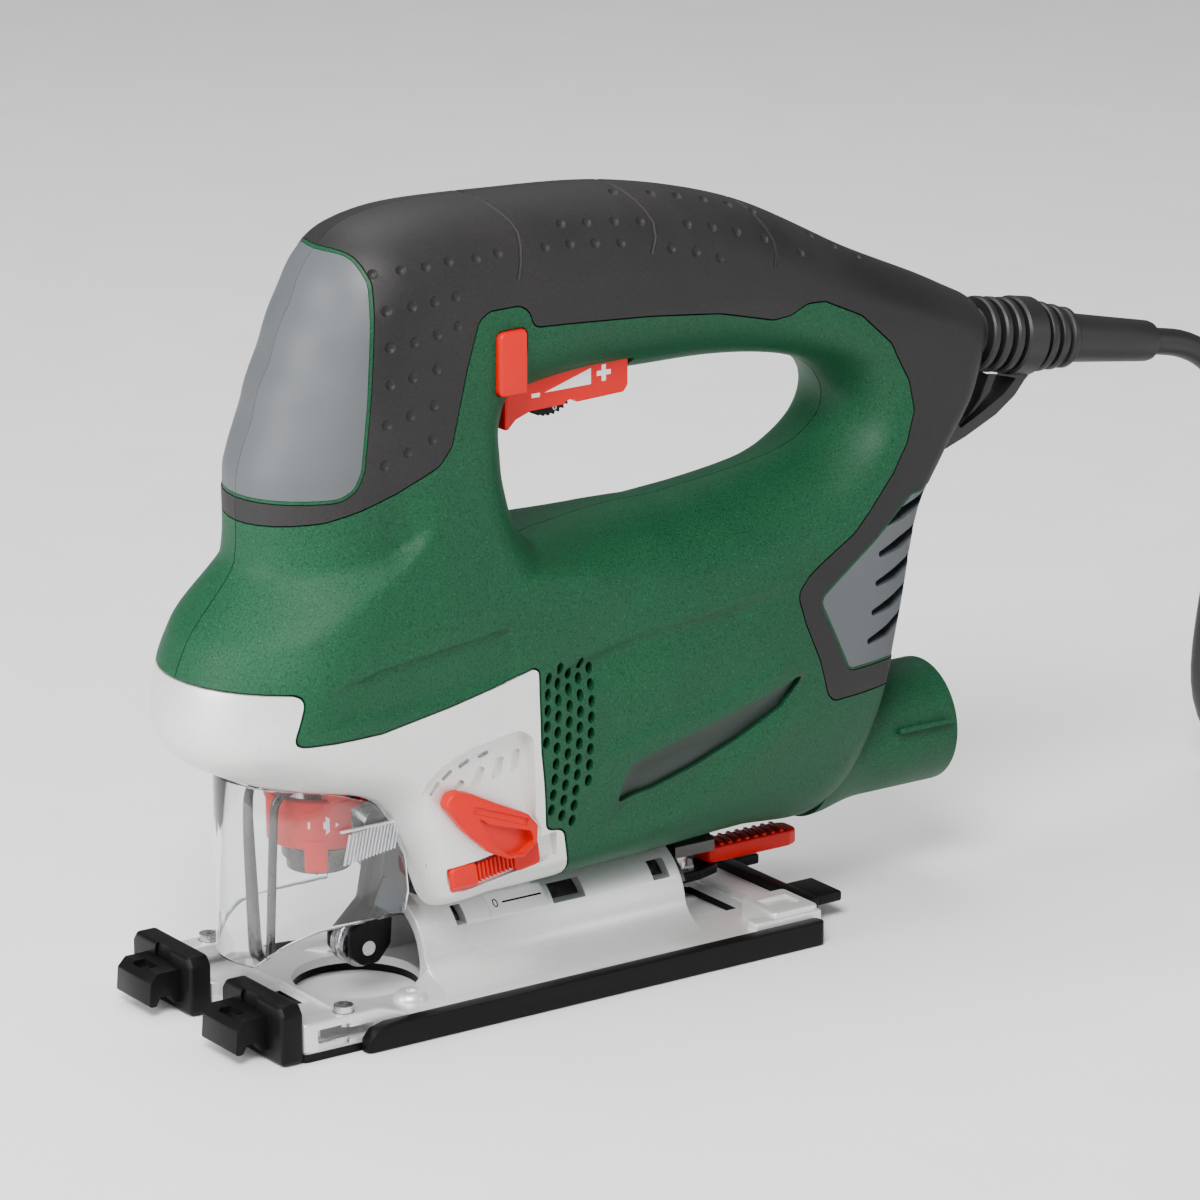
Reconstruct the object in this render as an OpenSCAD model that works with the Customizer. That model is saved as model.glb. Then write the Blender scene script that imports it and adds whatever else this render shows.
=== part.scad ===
// Corded jigsaw: two clamshell halves with rubber grips, a cast gearbox nose,
// a tilting cast base in a sliding shoe, and the drive from brush motor to blade clamp.
// +X points to the cable end, -Y is the side with the controls, +Z is up.
// The origin lies on the sole, on the centre line.

/* [Housing] */
// Half width of the lower body at its widest
body_half_w = 34; // [33:0.5:37]
// Half width of the handle
handle_half_w = 20.5; // [19:0.5:23]
// Half width of the front column
column_half_w = 26; // [25:0.5:29]
// Half width of the rear column
tail_half_w = 22; // [21:0.5:24]
// Height of the handle's top above the sole
handle_top_z = 211; // [208:0.2:216]
// Height of the handle's underside above the sole
handle_under_z = 158.2; // [157:0.2:160]
// Height of the body's top under the handle
saddle_top_z = 121.6; // [119:0.2:123]
// Height of the body's floor above the sole
floor_z = 24.2; // [24:0.1:26]
// X of the foremost point of the nose
nose_front_x = -92.6; // [-94:0.2:-89]
// Thickness of the rubber grip on the shell
grip_skin = 1.8; // [1.2:0.1:2.2]
// Gap between rubber grip and shell
grip_gap = 0.1; // [0.05:0.05:0.2]
// Wall of the plastic shells
shell_wall = 2.6; // [2:0.1:3]
// Wall of the cast gearbox housing
casting_wall = 3; // [2.4:0.1:3.4]

/* [Screws and bosses] */
// Radius of a housing screw's shank
screw_r = 1.8; // [1.5:0.1:2]
// Radius of a housing screw's head
screw_head_r = 3.4; // [3:0.1:3.8]
// Radius of a screw boss inside the shell
boss_r = 4.2; // [4:0.1:4.6]

/* [Dust extraction] */
// Inner radius of the dust tube, where a hose pushes in
dust_bore_r = 15.8; // [15:0.1:16.4]
// Wall of the dust tube
dust_wall = 1.6; // [1.2:0.1:2]
// Height of the dust tube's axis above the sole
dust_z = 42.3; // [41.8:0.1:43]
// X of the dust tube's open end
dust_end_x = 149.5; // [144:0.5:156]

/* [Base] */
// Height of the tilt axis above the sole
tilt_z = 9; // [8.6:0.1:9.4]
// Outer radius of the cradle that the body rides on
cradle_r = 17; // [16.4:0.1:17]
// Wall of the cradle
cradle_wall = 3; // [2.4:0.1:3.4]
// X of the plate's front end
plate_front_x = -77.5; // [-80:0.5:-77]
// X of the plate's rear end
plate_rear_x = 88; // [86:0.5:92]
// Half width of the cast plate
plate_half_w = 37; // [36:0.5:38]
// Thickness of the shoe's sole
shoe_t = 2; // [1.6:0.1:2.2]
// Thickness of the cast plate's flange
plate_t = 2.4; // [2:0.1:2.6]
// Height of the shoe's side rails
rail_h = 6.6; // [6.4:0.1:7]
// Width of a side rail
rail_w = 4; // [3.6:0.1:4.4]
// Half width of the blade slot between the toes
slot_half_w = 7.6; // [6:0.1:9]
// Radius of the round opening around the blade
blade_open_r = 17; // [16:0.2:18]
// Width of the slot for a parallel guide bar
fence_w = 14; // [12:0.5:16]
// Height of the slot for a parallel guide bar
fence_h = 3.2; // [2.6:0.1:3.4]

/* [Drive] */
// X of the plunger's axis
plunger_x = -50; // [-51:0.5:-49]
// Radius of the plunger
plunger_r = 4.5; // [4:0.1:5]
// Throw of the eccentric pin, half of the stroke
throw = 11.5; // [9:0.5:11.5]
// Throw of the counterweight's eccentric
weight_throw = 7; // [5:0.5:7]
// Height of the motor's axis above the sole
motor_z = 70; // [69:0.2:71]
// Gear module
gear_m = 0.8; // [0.8]
// Teeth of the drive gear
gear_teeth = 63; // [63]
// Teeth of the pinion
pinion_teeth = 9; // [9]
// Width of the drive gear
gear_w = 7; // [5:0.5:7]
// X of the drive gear's front face
gear_x = -34; // [-34.5:0.5:-33.5]
// Radius of the gear's axle
axle_r = 4; // [3:0.1:4.5]
// Radius of the armature shaft
shaft_r = 4; // [3.5:0.1:4]
// Outer radius of the front ball bearing
bearing_r = 11; // [11:0.5:12]
// Outer radius of the rear ball bearing
rear_bearing_r = 9.5; // [9:0.5:10]
// Outer radius of the stator
stator_r = 28; // [26:0.5:28]
// Outer radius of the armature core
core_r = 17; // [15:0.5:18]
// Outer radius of the cooling fan
fan_r = 23; // [20:0.5:24]
// Radius of the guide roller
roller_r = 6; // [5:0.2:6.4]
// Clearance of a running fit
run_gap = 0.05; // [0.03:0.01:0.08]
// Clearance between pieces that pass each other
free_gap = 0.3; // [0.25:0.05:0.4]

/* [Controls] */
// Width of the trigger
trigger_w = 26; // [22:0.5:26]
// Length of the trigger
trigger_l = 39.5; // [36:0.5:40]
// Radius of the speed dial
dial_r = 9.5; // [8.5:0.1:9.8]
// Width of the speed dial
dial_w = 14; // [10:0.5:16]
// Length of the orbital lever from pivot to tip
lever_l = 26; // [22:0.5:27]
// Length of the blower switch
blower_l = 25; // [20:0.5:26]
// Length of the base clamping lever's red grip
clamp_grip_l = 31; // [26:0.5:34]

/* [Cable] */
// Diameter of the mains cable
cable_d = 7.8; // [7:0.1:8.4]
// Radius of the boot's large ribs
boot_r = 10.5; // [10:0.1:11.5]
// Length of the boot outside the housing
boot_l = 67; // [60:1:72]
// Turns of the coiled cable, stacked and nested
coil_turns = 8; // [6:1:10]

// Width of the plug's body
plug_w = 37; // [34:0.5:40]
// Height of the plug's body
plug_h = 26; // [22:0.5:26]
// Radius of a plug pin
plug_pin_r = 2.4; // [2.4]
// Distance between the plug pins
pin_pitch = 19; // [19]
// Length of a plug pin
pin_l = 19; // [19]

/* [Hidden] */
fine = 48;
soft = 32;
green = [0.13, 0.36, 0.24];
black = [0.2, 0.19, 0.19];
grey = [0.55, 0.57, 0.59];
cast = [0.78, 0.78, 0.78];
red = [0.88, 0.18, 0.12];
steel = [0.62, 0.63, 0.65];

// Body skin: ribs run from the handle opening to the outer profile.
// Each row: opening point, profile point, half widths near the opening, in the
// middle and at the profile, then the rounding depths at both ends.
bw = body_half_w;
hw = handle_half_w;
cw = column_half_w;
tw = tail_half_w;
top = handle_top_z;
under = handle_under_z;
sad = saddle_top_z;
flo = floor_z;
nose = nose_front_x;
body_ribs = [
  [50, under, 46, top - 3, hw - 2, hw, hw - 0.5, 19, 21],
  [24, under, 8, top - 0.3, hw - 1.5, hw + 1, hw + 0.5, 19, 22],
  [6, under - 2, -30, top - 0.6, hw, hw + 3, hw + 2.5, 18, 23],
  [1.5, under - 9, -49, top - 9.6, cw - 5, cw - 1, cw - 1.5, 18, 24],
  [2, under - 17, -62.5, top - 36, cw - 4, cw, cw - 0.5, 17, 26],
  [3, 135, -72, 148, cw - 3, cw + 0.7, cw, 16, 27],
  [5.5, 126, -77, 125, cw - 1, cw + 4, cw + 3, 17, 31],
  [12, sad - 3.4, nose + 5.5, 106, bw - 8, bw - 1, bw - 2, 18, 34],
  [19, sad - 2.8, nose, 91, bw - 7, bw, bw - 1, 20, 34],
  [26, sad - 1.9, nose + 1.2, 75.5, bw - 6, bw, bw - 1, 22, 33],
  [32, sad - 1.1, -72, 64.5, bw - 6, bw, bw - 4, 24, 22],
  [37, sad - 0.6, -46, 57, bw - 6, bw, bw - 6, 24, 13],
  [41, sad - 0.3, -37, 41, bw - 6, bw - 0.5, bw - 8, 24, 12],
  [45, sad, -29, flo + 0.6, bw - 6, bw - 1, bw - 9, 24, 12],
  [50, sad, -10, flo, bw - 6, bw - 1, bw - 9.5, 24, 12],
  [56, sad, 20, flo, bw - 6, bw, bw - 9.5, 24, 13],
  [64, sad + 0.8, 50, flo, bw - 6.5, bw - 0.5, bw - 11, 24, 15],
  [74, sad + 1.8, 80, flo, bw - 7.5, bw - 2, bw - 15, 23, 18],
  [86, sad + 3.4, 107, flo + 0.3, bw - 9, bw - 5, bw - 16, 21, 17.6],
  [95, sad + 5, 121, 44, bw - 9.5, bw - 6, bw - 15, 19, 16],
  [103, sad + 7.4, 127.5, 72, tw + 2, tw + 5, tw, 16, 15],
  [109.5, sad + 11.4, 136, 103, tw + 1, tw + 2.5, tw - 1, 14, 13],
  [113, 137.5, 148.5, 121, tw, tw + 1, tw - 3, 13, 15],
  [113, 143.5, 161.5, 139, tw - 0.5, tw, tw - 7, 14, 15],
  [108.5, 149.5, 164.5, 158, tw - 1, tw - 0.7, tw - 8.5, 15, 15],
  [100, under - 4.4, 150, 167.8, hw, hw + 1, hw - 3.5, 17, 19],
  [87, under - 1.6, 120, 181, hw - 0.5, hw + 0.5, hw - 1, 18, 20],
  [70, under - 0.2, 83, 198.8, hw - 1.5, hw, hw - 0.5, 19, 20]];
rib_steps = 2;
round_steps = 4;

// Side outlines of the colour zones, as X and Z
silver_zone = [[-110, 95.5], [-71.5, 95.5], [-75, 81.5], [-50, 82], [-30, 85.5],
  [-16, 88.5], [-4, 91.5], [-2.5, 90.5], [-1, 68], [2.5, 45], [8, 44.5], [12, 30],
  [13, 10], [-110, 10]];
black_zone = [[-110, 133], [-80, 133.5], [-60, 136.5], [-40, 142], [-27.5, 147.5],
  [-23.5, 152], [-18, 171], [-13.5, 183], [-10, 185], [0, 185], [3, 183],
  [4.5, 178.6], [14, 178], [42, 176], [65, 173.5], [83, 169.2], [88, 170],
  [93, 172.6], [99, 172.4], [111, 167], [121, 158], [127, 147], [128.5, 138.5],
  [125.5, 130], [120, 122.5], [105, 108.5], [89, 99.5], [84.5, 95.5], [87, 87],
  [92, 76], [95, 66], [97.5, 63.5], [180, 63.5], [180, 230], [-110, 230]];
grille_zone = [[180, 116.5], [126.5, 116.5], [110, 105], [92, 92.5], [102.5, 70.8],
  [180, 70.8]];
pad_zone = [[-110, 203], [-44, 203], [-42.5, 196], [-44.5, 182], [-46.5, 168],
  [-49.5, 149], [-51.5, 144], [-56, 141.6], [-110, 138.5]];
pad_rim = 1.6;

// Screws of the clamshell, as X and Z
shell_screws = [[-22, 192], [58, 184], [106, 178], [143, 144], [112, 112],
  [-8, 128], [84, 46], [15, 43]];
screw_bite = 12;

// Drive train places
gear_z = motor_z + gear_m * (gear_teeth + pinion_teeth) / 2;
gear_r = gear_m * gear_teeth / 2;
pin_r = 3;
pin_tip_x = gear_x - 4.7;
yoke_x = pin_tip_x - free_gap;
yoke_t = 5;
cam_r = 9;
cam_w = 2;
weight_x = gear_x + gear_w + cam_w + free_gap;
weight_t = 4;
frame_x = weight_x + weight_t + free_gap;
frame_t = 7;
bush_wall = 2.5;
bush_h = 10;
bush_low_z = 62;
bush_high_z = gear_z + 38;
arm_r = plunger_r + bush_wall + 4.5;
fan_x = 1;
fan_w = 10;
stator_x = 23;
stator_l = 44;
coil_over = 4;
comm_x = stator_x + stator_l + 9;
comm_l = 13;
comm_r = 12;
rear_bearing_x = comm_x + 20;
rear_bearing_w = 6;
clamp_r = 8.2;
clamp_z = 38;
clamp_h = 12;

// Base places
plate_z = shoe_t;
cradle_front_x = -27;
cradle_rear_x = 57;
toe_h = 16;
toe_t = 6.5;
roller_x = -38;
roller_z = 14;
fork_x = -29;
fork_z = 41;
guard_x = -67;
guard_z = bush_low_z - 1.25;
duct_z = 31.6;
duct_w = 15;
duct_h = 5.6;
dust_front_x = 104;
dust_seat = 2.5;
cover_r = 20;
cover_t = 1.6;
cover_cx = -57.5;
wall_top = 8;
recess_y = 28.9;
slide_at = [-13.5, -27.9, 37.6];
slide_tilt = 8.6;
slide_travel = 5;
lever_pivot = [-5.5, -29, 45.5];
light_x = -73.4;
light_r = 2.3;
clamp_x = 65.8;
lug_z = 79;
lug_y = 26;
screw_y = 33.3;
fence_x = -70;

// Cable places
boot_root = [163, 0, 150.6];
boot_tilt = 9.8;
boot_tail_r = 5.8;
coil_mid_r = 41;
lead_l = 27;
coil_x = 324;
coil_y = -27;
coil_top = coil_turns / 2 * cable_d;
boot_way = [cos(boot_tilt), 0, -sin(boot_tilt)];
tail_end = boot_root + boot_l * boot_way;
cable_r = cable_d / 2;
lead_y = coil_y + coil_mid_r + cable_r;
cable_points = [tail_end, tail_end + 5 * boot_way, [239.8, 0, 137.1], [246, 0, 134.6],
  [251.9, 0, 130.7], [257.2, 0, 125.4], [261.4, 0.1, 118.4], [263.8, 0.5, 110.6],
  [264.5, 1.6, 101], [264.6, 3.6, 88], [264.6, 6.2, 74], [264.7, 9, 60], [265, 11.8, 46],
  [266, 14.2, 33.5], [268.6, 16, 23], [273.4, 17.2, 14], [280, lead_y, 7.9],
  [288, lead_y, 4.7], [296, lead_y, cable_r], [297, lead_y, cable_r]];
plug_z = 13;
plug_x = coil_x - 40;
plug_y = coil_y - coil_mid_r - cable_r;
end_points = [[coil_x - lead_l, plug_y, 1.5 * cable_d],
  [coil_x - lead_l - 2, plug_y, 1.5 * cable_d], [plug_x + 2, plug_y, plug_z],
  [plug_x, plug_y, plug_z]];

// Small helpers
function edge(q) = q >= 1 ? 1 : sqrt(1 - (1 - q) * (1 - q));
function blend3(a, b, c, s) = s < 0.5 ? a + (b - a) * sin(180 * s)
  : c + (b - c) * sin(180 * s);
function spline(a, b, c, d, t) = 0.5 * (2 * b + (c - a) * t
  + (2 * a - 5 * b + 4 * c - d) * t * t + (3 * b - a - 3 * c + d) * t * t * t);
function rib_at(k) = let (n = len(body_ribs), i = floor(k / rib_steps),
  t = (k % rib_steps) / rib_steps)
  spline(body_ribs[(i + n - 1) % n], body_ribs[i % n], body_ribs[(i + 1) % n],
    body_ribs[(i + 2) % n], t);
function half_section(l, r, inset) = let (ri = max(r[7] - inset, 2),
  ro = max(r[8] - inset, 2), n = round_steps,
  ts = concat([for (i = [0:n]) ri * (1 - cos(90 * i / n))],
    [ri + (l - ri - ro) / 3, ri + (l - ri - ro) * 2 / 3],
    [for (i = [0:n]) l - ro * (1 - sin(90 * i / n))]))
  [for (t = ts) [t, (blend3(r[4], r[5], r[6], t / l) - inset)
    * edge(t / ri) * edge((l - t) / ro)]];
function rib_ring(k, inset) = let (r = rib_at(k), p = [r[0], r[1]], q = [r[2], r[3]],
  u = (q - p) / norm(q - p), l = norm(q - p) - 2 * inset, a = p + u * inset,
  h = half_section(l, r, inset), m = len(h))
  concat([for (i = [0:m - 1]) [a.x + u.x * h[i][0], -h[i][1], a.y + u.y * h[i][0]]],
    [for (i = [m - 2:-1:1]) [a.x + u.x * h[i][0], h[i][1], a.y + u.y * h[i][0]]]);

// Closed skin around the handle opening, drawn in by inset
module body_skin(inset = 0) {
  n = len(body_ribs) * rib_steps;
  for (k = [0:n - 1]) {
    ring_a = rib_ring(k, inset);
    ring_b = rib_ring((k + 1) % n, inset);
    m = len(ring_a);
    hull() polyhedron(concat(ring_a, ring_b), [[for (i = [0:m - 1]) i],
      [for (i = [m - 1:-1:0]) m + i]]);
  }
}

// Extrudes a side outline across the whole width
module across(outline, half = 60) {
  rotate([90, 0, 0]) linear_extrude(2 * half, center = true) polygon(outline);
}

module side_half(left) {
  translate([-150, left ? -80 : 0, -20]) cube([400, 80, 260]);
}

// Everything that passes through the shells
module shell_openings() {
  // cradle ride
  translate([-60, 0, tilt_z]) rotate([0, 90, 0])
    cylinder(h = 160, r = cradle_r + free_gap, $fn = soft);
  // dust tube
  translate([dust_front_x, 0, dust_z]) rotate([0, 90, 0])
    cylinder(h = 60, r = dust_bore_r + dust_wall + 0.15, $fn = soft);
  // cable boot
  translate(boot_root) rotate([0, 90 + boot_tilt, 0])
    cylinder(h = 30, r = 7.6, center = true, $fn = soft);
  translate(boot_root) rotate([0, 90 + boot_tilt, 0]) translate([0, 0, -14])
    cylinder(h = 10.1, r = 8.8, $fn = soft);
  // trigger and dial
  translate([-1, -trigger_w / 2 - free_gap, 145])
    cube([trigger_l + 4, trigger_w + 2 * free_gap, 28.5]);
  // lock button
  translate([-8.3, -40, 161.7]) cube([10.6, 27, 17.6]);
}

module boss_row(left) {
  for (p = shell_screws) hull() {
    translate([p[0], 0, p[1]]) rotate([left ? 90 : -90, 0, 0])
      cylinder(h = 26, r = boss_r, $fn = 16);
    translate([p[0], 0, p[1] - boss_r]) rotate([left ? 90 : -90, 0, 0])
      cylinder(h = 26, r = 1, $fn = 8);
  }
}

// Ribs and bosses that hold switch, board, capacitor and trigger pin
module shelf_row(s) {
  for (b = [[14, 176, 8.55, 2.4, 16], [42, 176, 8.55, 2.4, 16], [66, 171, 9.05, 4, 9],
      [120, 158, 6.05, 2.4, 6]])
    translate([b[0], s > 0 ? b[2] : -b[2] - 14, b[1]]) cube([b[3], 14, b[4]]);
  translate([trigger_pivot.x, s * (trigger_w / 2 + free_gap), trigger_pivot.z])
    rotate([-90 * s, 0, 0]) cylinder(h = 8, r = 3.6, $fn = 20);
}

// One plastic half: full skin in the green zone, drawn in under the rubber
module housing_half(left) {
  deep = grip_skin;
  difference() {
    intersection() {
      side_half(left);
      union() {
        difference() {
          body_skin();
          across(silver_zone);
          across(black_zone);
        }
        difference() {
          body_skin(deep);
          across(silver_zone);
        }
      }
    }
    difference() {
      body_skin(deep + shell_wall);
      intersection() {
        body_skin(deep + shell_wall - 0.4);
        union() {
          boss_row(left);
          shelf_row(left ? -1 : 1);
          for (x = [stator_x + 3, stator_x + stator_l - 6])
            translate([x, -40, 40]) cube([2.4, 80, 62]);
        }
      }
    }
    translate([stator_x - 6, 0, motor_z]) rotate([0, 90, 0])
      cylinder(h = stator_l + 12, r = stator_r + 0.2, $fn = soft);
    for (p = shell_screws) translate([p[0], 22, p[1]]) rotate([90, 0, 0])
      cylinder(h = 22 + screw_bite + 0.4, r = screw_r + 0.1, $fn = 12);
    translate(trigger_pivot) rotate([90, 0, 0])
      cylinder(h = trigger_w + 4.8, r = 1.53, center = true, $fn = 16);
    if (!left) for (p = shell_screws) translate([p[0], screw_seat(p), p[1]])
      rotate([-90, 0, 0]) cylinder(h = 40, r = screw_head_r + 0.3, $fn = 16);
    shell_openings();
    vent_slots();
    grille_window();
  }
}

// Depth at which a screw's head sits on the right half
function screw_seat(p) = p[1] > 140 ? 13 : 18;

// Columns of cooling slots beside the fan
module vent_slots() {
  for (i = [0:4]) hull() for (z = [44 + i * 0.5, 84 + i * 1.4])
    translate([3 + i * 3.6 + (z - 44) * 0.03, 0, z]) rotate([90, 0, 0])
      cylinder(h = 80, r = 0.9, center = true, $fn = 8);
}

module grille_window() {
  offset_zone(grille_zone, -0.7);
}

module housing_left() color(green) housing_half(true);
module housing_right() color(green) housing_half(false);

// Rubber skin over the column, handle and rear column
module grip_half(left) {
  difference() {
    intersection() {
      side_half(left);
      across(black_zone);
      body_skin();
    }
    body_skin(grip_skin - grip_gap);
    across(pad_zone);
    across(grille_zone);
    shell_openings();
    for (x = [18, 58, 92]) hull() for (s = [0, 1])
      translate([x + 4 * s, 0, top - 4 - s * (x > 50 ? 12 : 3)]) rotate([90, 0, 0])
        cylinder(h = 80, r = 0.6, center = true, $fn = 8);
    if (!left) for (p = shell_screws) translate([p[0], screw_seat(p), p[1]])
      rotate([-90, 0, 0]) cylinder(h = 40, r = screw_head_r + 0.3, $fn = 16);
  }
}

module grip_left() color(black) grip_half(true);
module grip_right() color(black) grip_half(false);

// Soft grey pad on the column's front, with three finger dents
module front_pad_half(left) {
  difference() {
    intersection() {
      side_half(left);
      offset_zone(pad_zone, -pad_rim);
      body_skin(0.2);
    }
    body_skin(grip_skin - grip_gap);
    for (z = [160, 175, 189]) hull() for (y = [-12, 12])
      translate([-68 - (160 - z) * 0.32 - 5, y, z]) sphere(r = 6, $fn = 16);
  }
}

// Side outline drawn in or out, then extruded across
module offset_zone(outline, by) {
  rotate([90, 0, 0]) linear_extrude(120, center = true)
    offset(delta = by) polygon(outline);
}

module front_pad_left() color(grey) front_pad_half(true);
module front_pad_right() color(grey) front_pad_half(false);

// Slotted grey air inlet at the back of the motor
module grille_half(left) {
  difference() {
    intersection() {
      side_half(left);
      offset_zone(grille_zone, -0.8);
      body_skin(0.2);
    }
    body_skin(shell_wall + 0.6);
    for (i = [0:4]) hull() {
      translate([116 + i * 1.2, 0, 77.5 + i * 8]) rotate([90, 0, 0])
        cylinder(h = 80, r = 1.3, center = true, $fn = 8);
      translate([124 + i * 2.2, 0, 82.5 + i * 6.5]) rotate([90, 0, 0])
        cylinder(h = 80, r = 1.6, center = true, $fn = 8);
    }
    translate([dust_front_x, 0, dust_z]) rotate([0, 90, 0])
      cylinder(h = 60, r = dust_bore_r + dust_wall + 0.15, $fn = soft);
  }
}

module rear_grille_left() color(grey) grille_half(true);
module rear_grille_right() color(grey) grille_half(false);

// Cast nose and neck in one piece, open below for plunger and roller fork
module gearbox_housing() color(cast) difference() {
  intersection() {
    offset_zone(silver_zone, -0.25);
    body_skin();
  }
  difference() {
    body_skin(casting_wall);
    for (s = [-1, 1]) translate([frame_x - 8.05, s * 29 - 6, lug_z - 5]) cube([8, 12, 10]);
    translate([-36, -40, 37]) cube([38, 40 - recess_y + casting_wall, 33]);
  }
  // recess for the lever and slot for the slide
  intersection() {
    translate([lever_pivot.x, -recess_y, lever_pivot.z]) rotate([90, 0, 0])
      cylinder(h = 20, r = lever_l + 1.5, $fn = fine);
    translate([lever_pivot.x - 30, -60, lever_pivot.z - 6.2]) cube([36.5, 60, 40]);
  }
  translate(slide_at) rotate([0, -slide_tilt, 0])
    translate([-blower_l / 2 - free_gap, -10, -2.9 - free_gap])
      cube([blower_l + slide_travel + 2 * free_gap, 14, 5.8 + 2 * free_gap]);
  for (s = [-1, 1]) translate([frame_x - 6, s * lug_y, lug_z]) rotate([0, 90, 0])
    cylinder(h = 8, r = 1.65, $fn = 24);
  translate([light_x, 0, 60]) cylinder(h = 20, r = light_r + 0.05, $fn = 24);
  translate([fork_x, 0, fork_z]) rotate([90, 0, 0])
    cylinder(h = 47, r = 2.05, center = true, $fn = 24);
  translate([-60, 0, tilt_z]) rotate([0, 90, 0])
    cylinder(h = 160, r = cradle_r + free_gap, $fn = soft);
  hull() for (x = [plunger_x - 5, -40]) translate([x, 0, 40])
    cylinder(h = 40, r = 15.5, $fn = soft);
  across([[-70, 60], [-44, 62], [-27, 56], [-24, 34], [-24, 20], [-70, 20]], 17.5);
  for (i = [0:6]) translate([lever_pivot.x, -body_half_w, lever_pivot.z])
    rotate([0, -(35 + i * 12), 0]) translate([-14, 0, 0]) hull()
      for (z = [0, 3]) translate([-4, 0, z]) sphere(r = 1.2, $fn = 8);
  translate([lever_pivot.x, -60, lever_pivot.z]) rotate([-90, 0, 0])
    cylinder(h = 45, r = 3.4, $fn = 24);
}

// Aluminium frame that carries axle, front bearing and plunger bushes
module gear_frame() color(steel) difference() {
  union() {
    translate([frame_x, -20, motor_z - 15]) cube([frame_t, 40, gear_z - motor_z + 40]);
    for (z = [bush_low_z, bush_high_z]) {
      translate([plunger_x, 0, z]) cylinder(h = bush_h, r = arm_r, $fn = fine);
      for (s = [-1, 1]) translate([plunger_x, s * (arm_r - 2) - 2, z])
        cube([frame_x - plunger_x + 1, 4, bush_h]);
    }
    for (s = [-1, 1]) translate([frame_x, s * 18 - 2, bush_low_z])
      cube([frame_t, 4, bush_high_z + bush_h - bush_low_z]);
    translate([frame_x, -20, gear_z + 20]) cube([frame_t, 40, bush_high_z + bush_h - gear_z - 20]);
    for (s = [-1, 1]) translate([frame_x, s * 24.1 - 5.1, lug_z - 5]) cube([frame_t, 10.2, 10]);
  }
  for (s = [-1, 1]) translate([frame_x - 1, s * lug_y, lug_z]) rotate([0, 90, 0])
    cylinder(h = frame_t + 2, r = 1.65, $fn = 24);
  for (z = [bush_low_z, bush_high_z]) translate([plunger_x, 0, z - 1])
    cylinder(h = bush_h + 2, r = plunger_r + bush_wall, $fn = fine);
  translate([frame_x - 1, 0, motor_z]) rotate([0, 90, 0])
    cylinder(h = frame_t + 2, r = bearing_r, $fn = fine);
  translate([frame_x - 1, 0, gear_z]) rotate([0, 90, 0])
    cylinder(h = frame_t + 2, r = axle_r, $fn = fine);
}

// Suction tube
module dust_tube() color(green) difference() {
  translate([dust_front_x, 0, dust_z]) rotate([0, 90, 0])
    cylinder(h = dust_end_x - dust_front_x, r = dust_bore_r + dust_wall, $fn = fine);
  translate([dust_front_x + dust_seat, 0, dust_z]) rotate([0, 90, 0])
    cylinder(h = dust_end_x - dust_front_x, r = dust_bore_r, $fn = fine);
  translate([dust_front_x - 1, -duct_w / 2 - run_gap, duct_z - run_gap])
    cube([10, duct_w + 2 * run_gap, duct_h + 2 * run_gap]);
}

// Flat duct from the blade to the suction tube, below the motor
module dust_duct() color(black) {
  difference() {
    union() {
      translate([-20, -duct_w / 2, duct_z]) cube([dust_front_x + dust_seat + 20, duct_w, duct_h]);
      translate([10, -4, floor_z + 4.8]) cube([3, 8, duct_z - floor_z - 4.5]);
    }
    translate([-21, 1 - duct_w / 2, duct_z + 1])
      cube([dust_front_x + 26, duct_w - 2, duct_h - 2]);
  }
}

// Clear hood round the blade
module chip_cover() color([0.85, 0.9, 0.92, 0.5]) difference() {
  intersection() {
    union() {
      translate([cover_cx, 0, 10]) cylinder(h = 60, r = cover_r, $fn = fine);
      translate([cover_cx, -cover_r, 10]) cube([30, 2 * cover_r, 60]);
    }
    across([[-80, 17], [-37.5, 17], [-34, 33], [-35, 43.8], [-37, 48.7], [-39, 52.5],
      [-42, 56.6], [-45, 59.1], [-48, 60.2], [-54, 62.4], [-60, 64.1], [-66, 65.2],
      [-71, 65.4], [-75, 65.9], [-80, 66.3]]);
    cover_clearance();
  }
  translate([cover_cx, 0, 9]) cylinder(h = 62, r = cover_r - cover_t, $fn = fine);
  translate([cover_cx, -cover_r + cover_t, 9]) cube([31, 2 * (cover_r - cover_t), 62]);
}

// Leaves out the lower corners, which the tilted plate sweeps
module cover_clearance() {
  rise = -tilt_z * (sqrt(2) - 1) + sqrt(2) * wall_top + 0.3;
  rotate([90, 0, 90]) linear_extrude(200, center = true)
    polygon([[0, rise], [40, 40 + rise], [40, 100], [-40, 100], [-40, 40 + rise]]);
}

// Tube swept along points in the XZ plane or in space, with flat ends
function tangent_at(p, i) = let (n = len(p), a = p[max(i - 1, 0)],
  b = p[min(i + 1, n - 1)]) (b - a) / norm(b - a);
function carry(u, t) = let (v = u - (u * t) * t) v / norm(v);
function frames(p, i = 0, u = [0, 1, 0], out = []) = i >= len(p) ? out
  : let (t = tangent_at(p, i), v = carry(u, t))
    frames(p, i + 1, v, concat(out, [[v, cross(t, v)]]));
module swept_tube(p, r, sides) {
  f = frames(p);
  n = len(p);
  pts = [for (i = [0:n - 1]) for (k = [0:sides - 1]) let (a = 360 * k / sides)
    p[i] + r * (cos(a) * f[i][0] + sin(a) * f[i][1])];
  polyhedron(pts, concat([[for (k = [0:sides - 1]) k]],
    [for (i = [0:n - 2]) for (k = [0:sides - 1]) let (j = (k + 1) % sides)
      [i * sides + k, (i + 1) * sides + k, (i + 1) * sides + j, i * sides + j]],
    [[for (k = [sides - 1:-1:0]) (n - 1) * sides + k]]));
}

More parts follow.
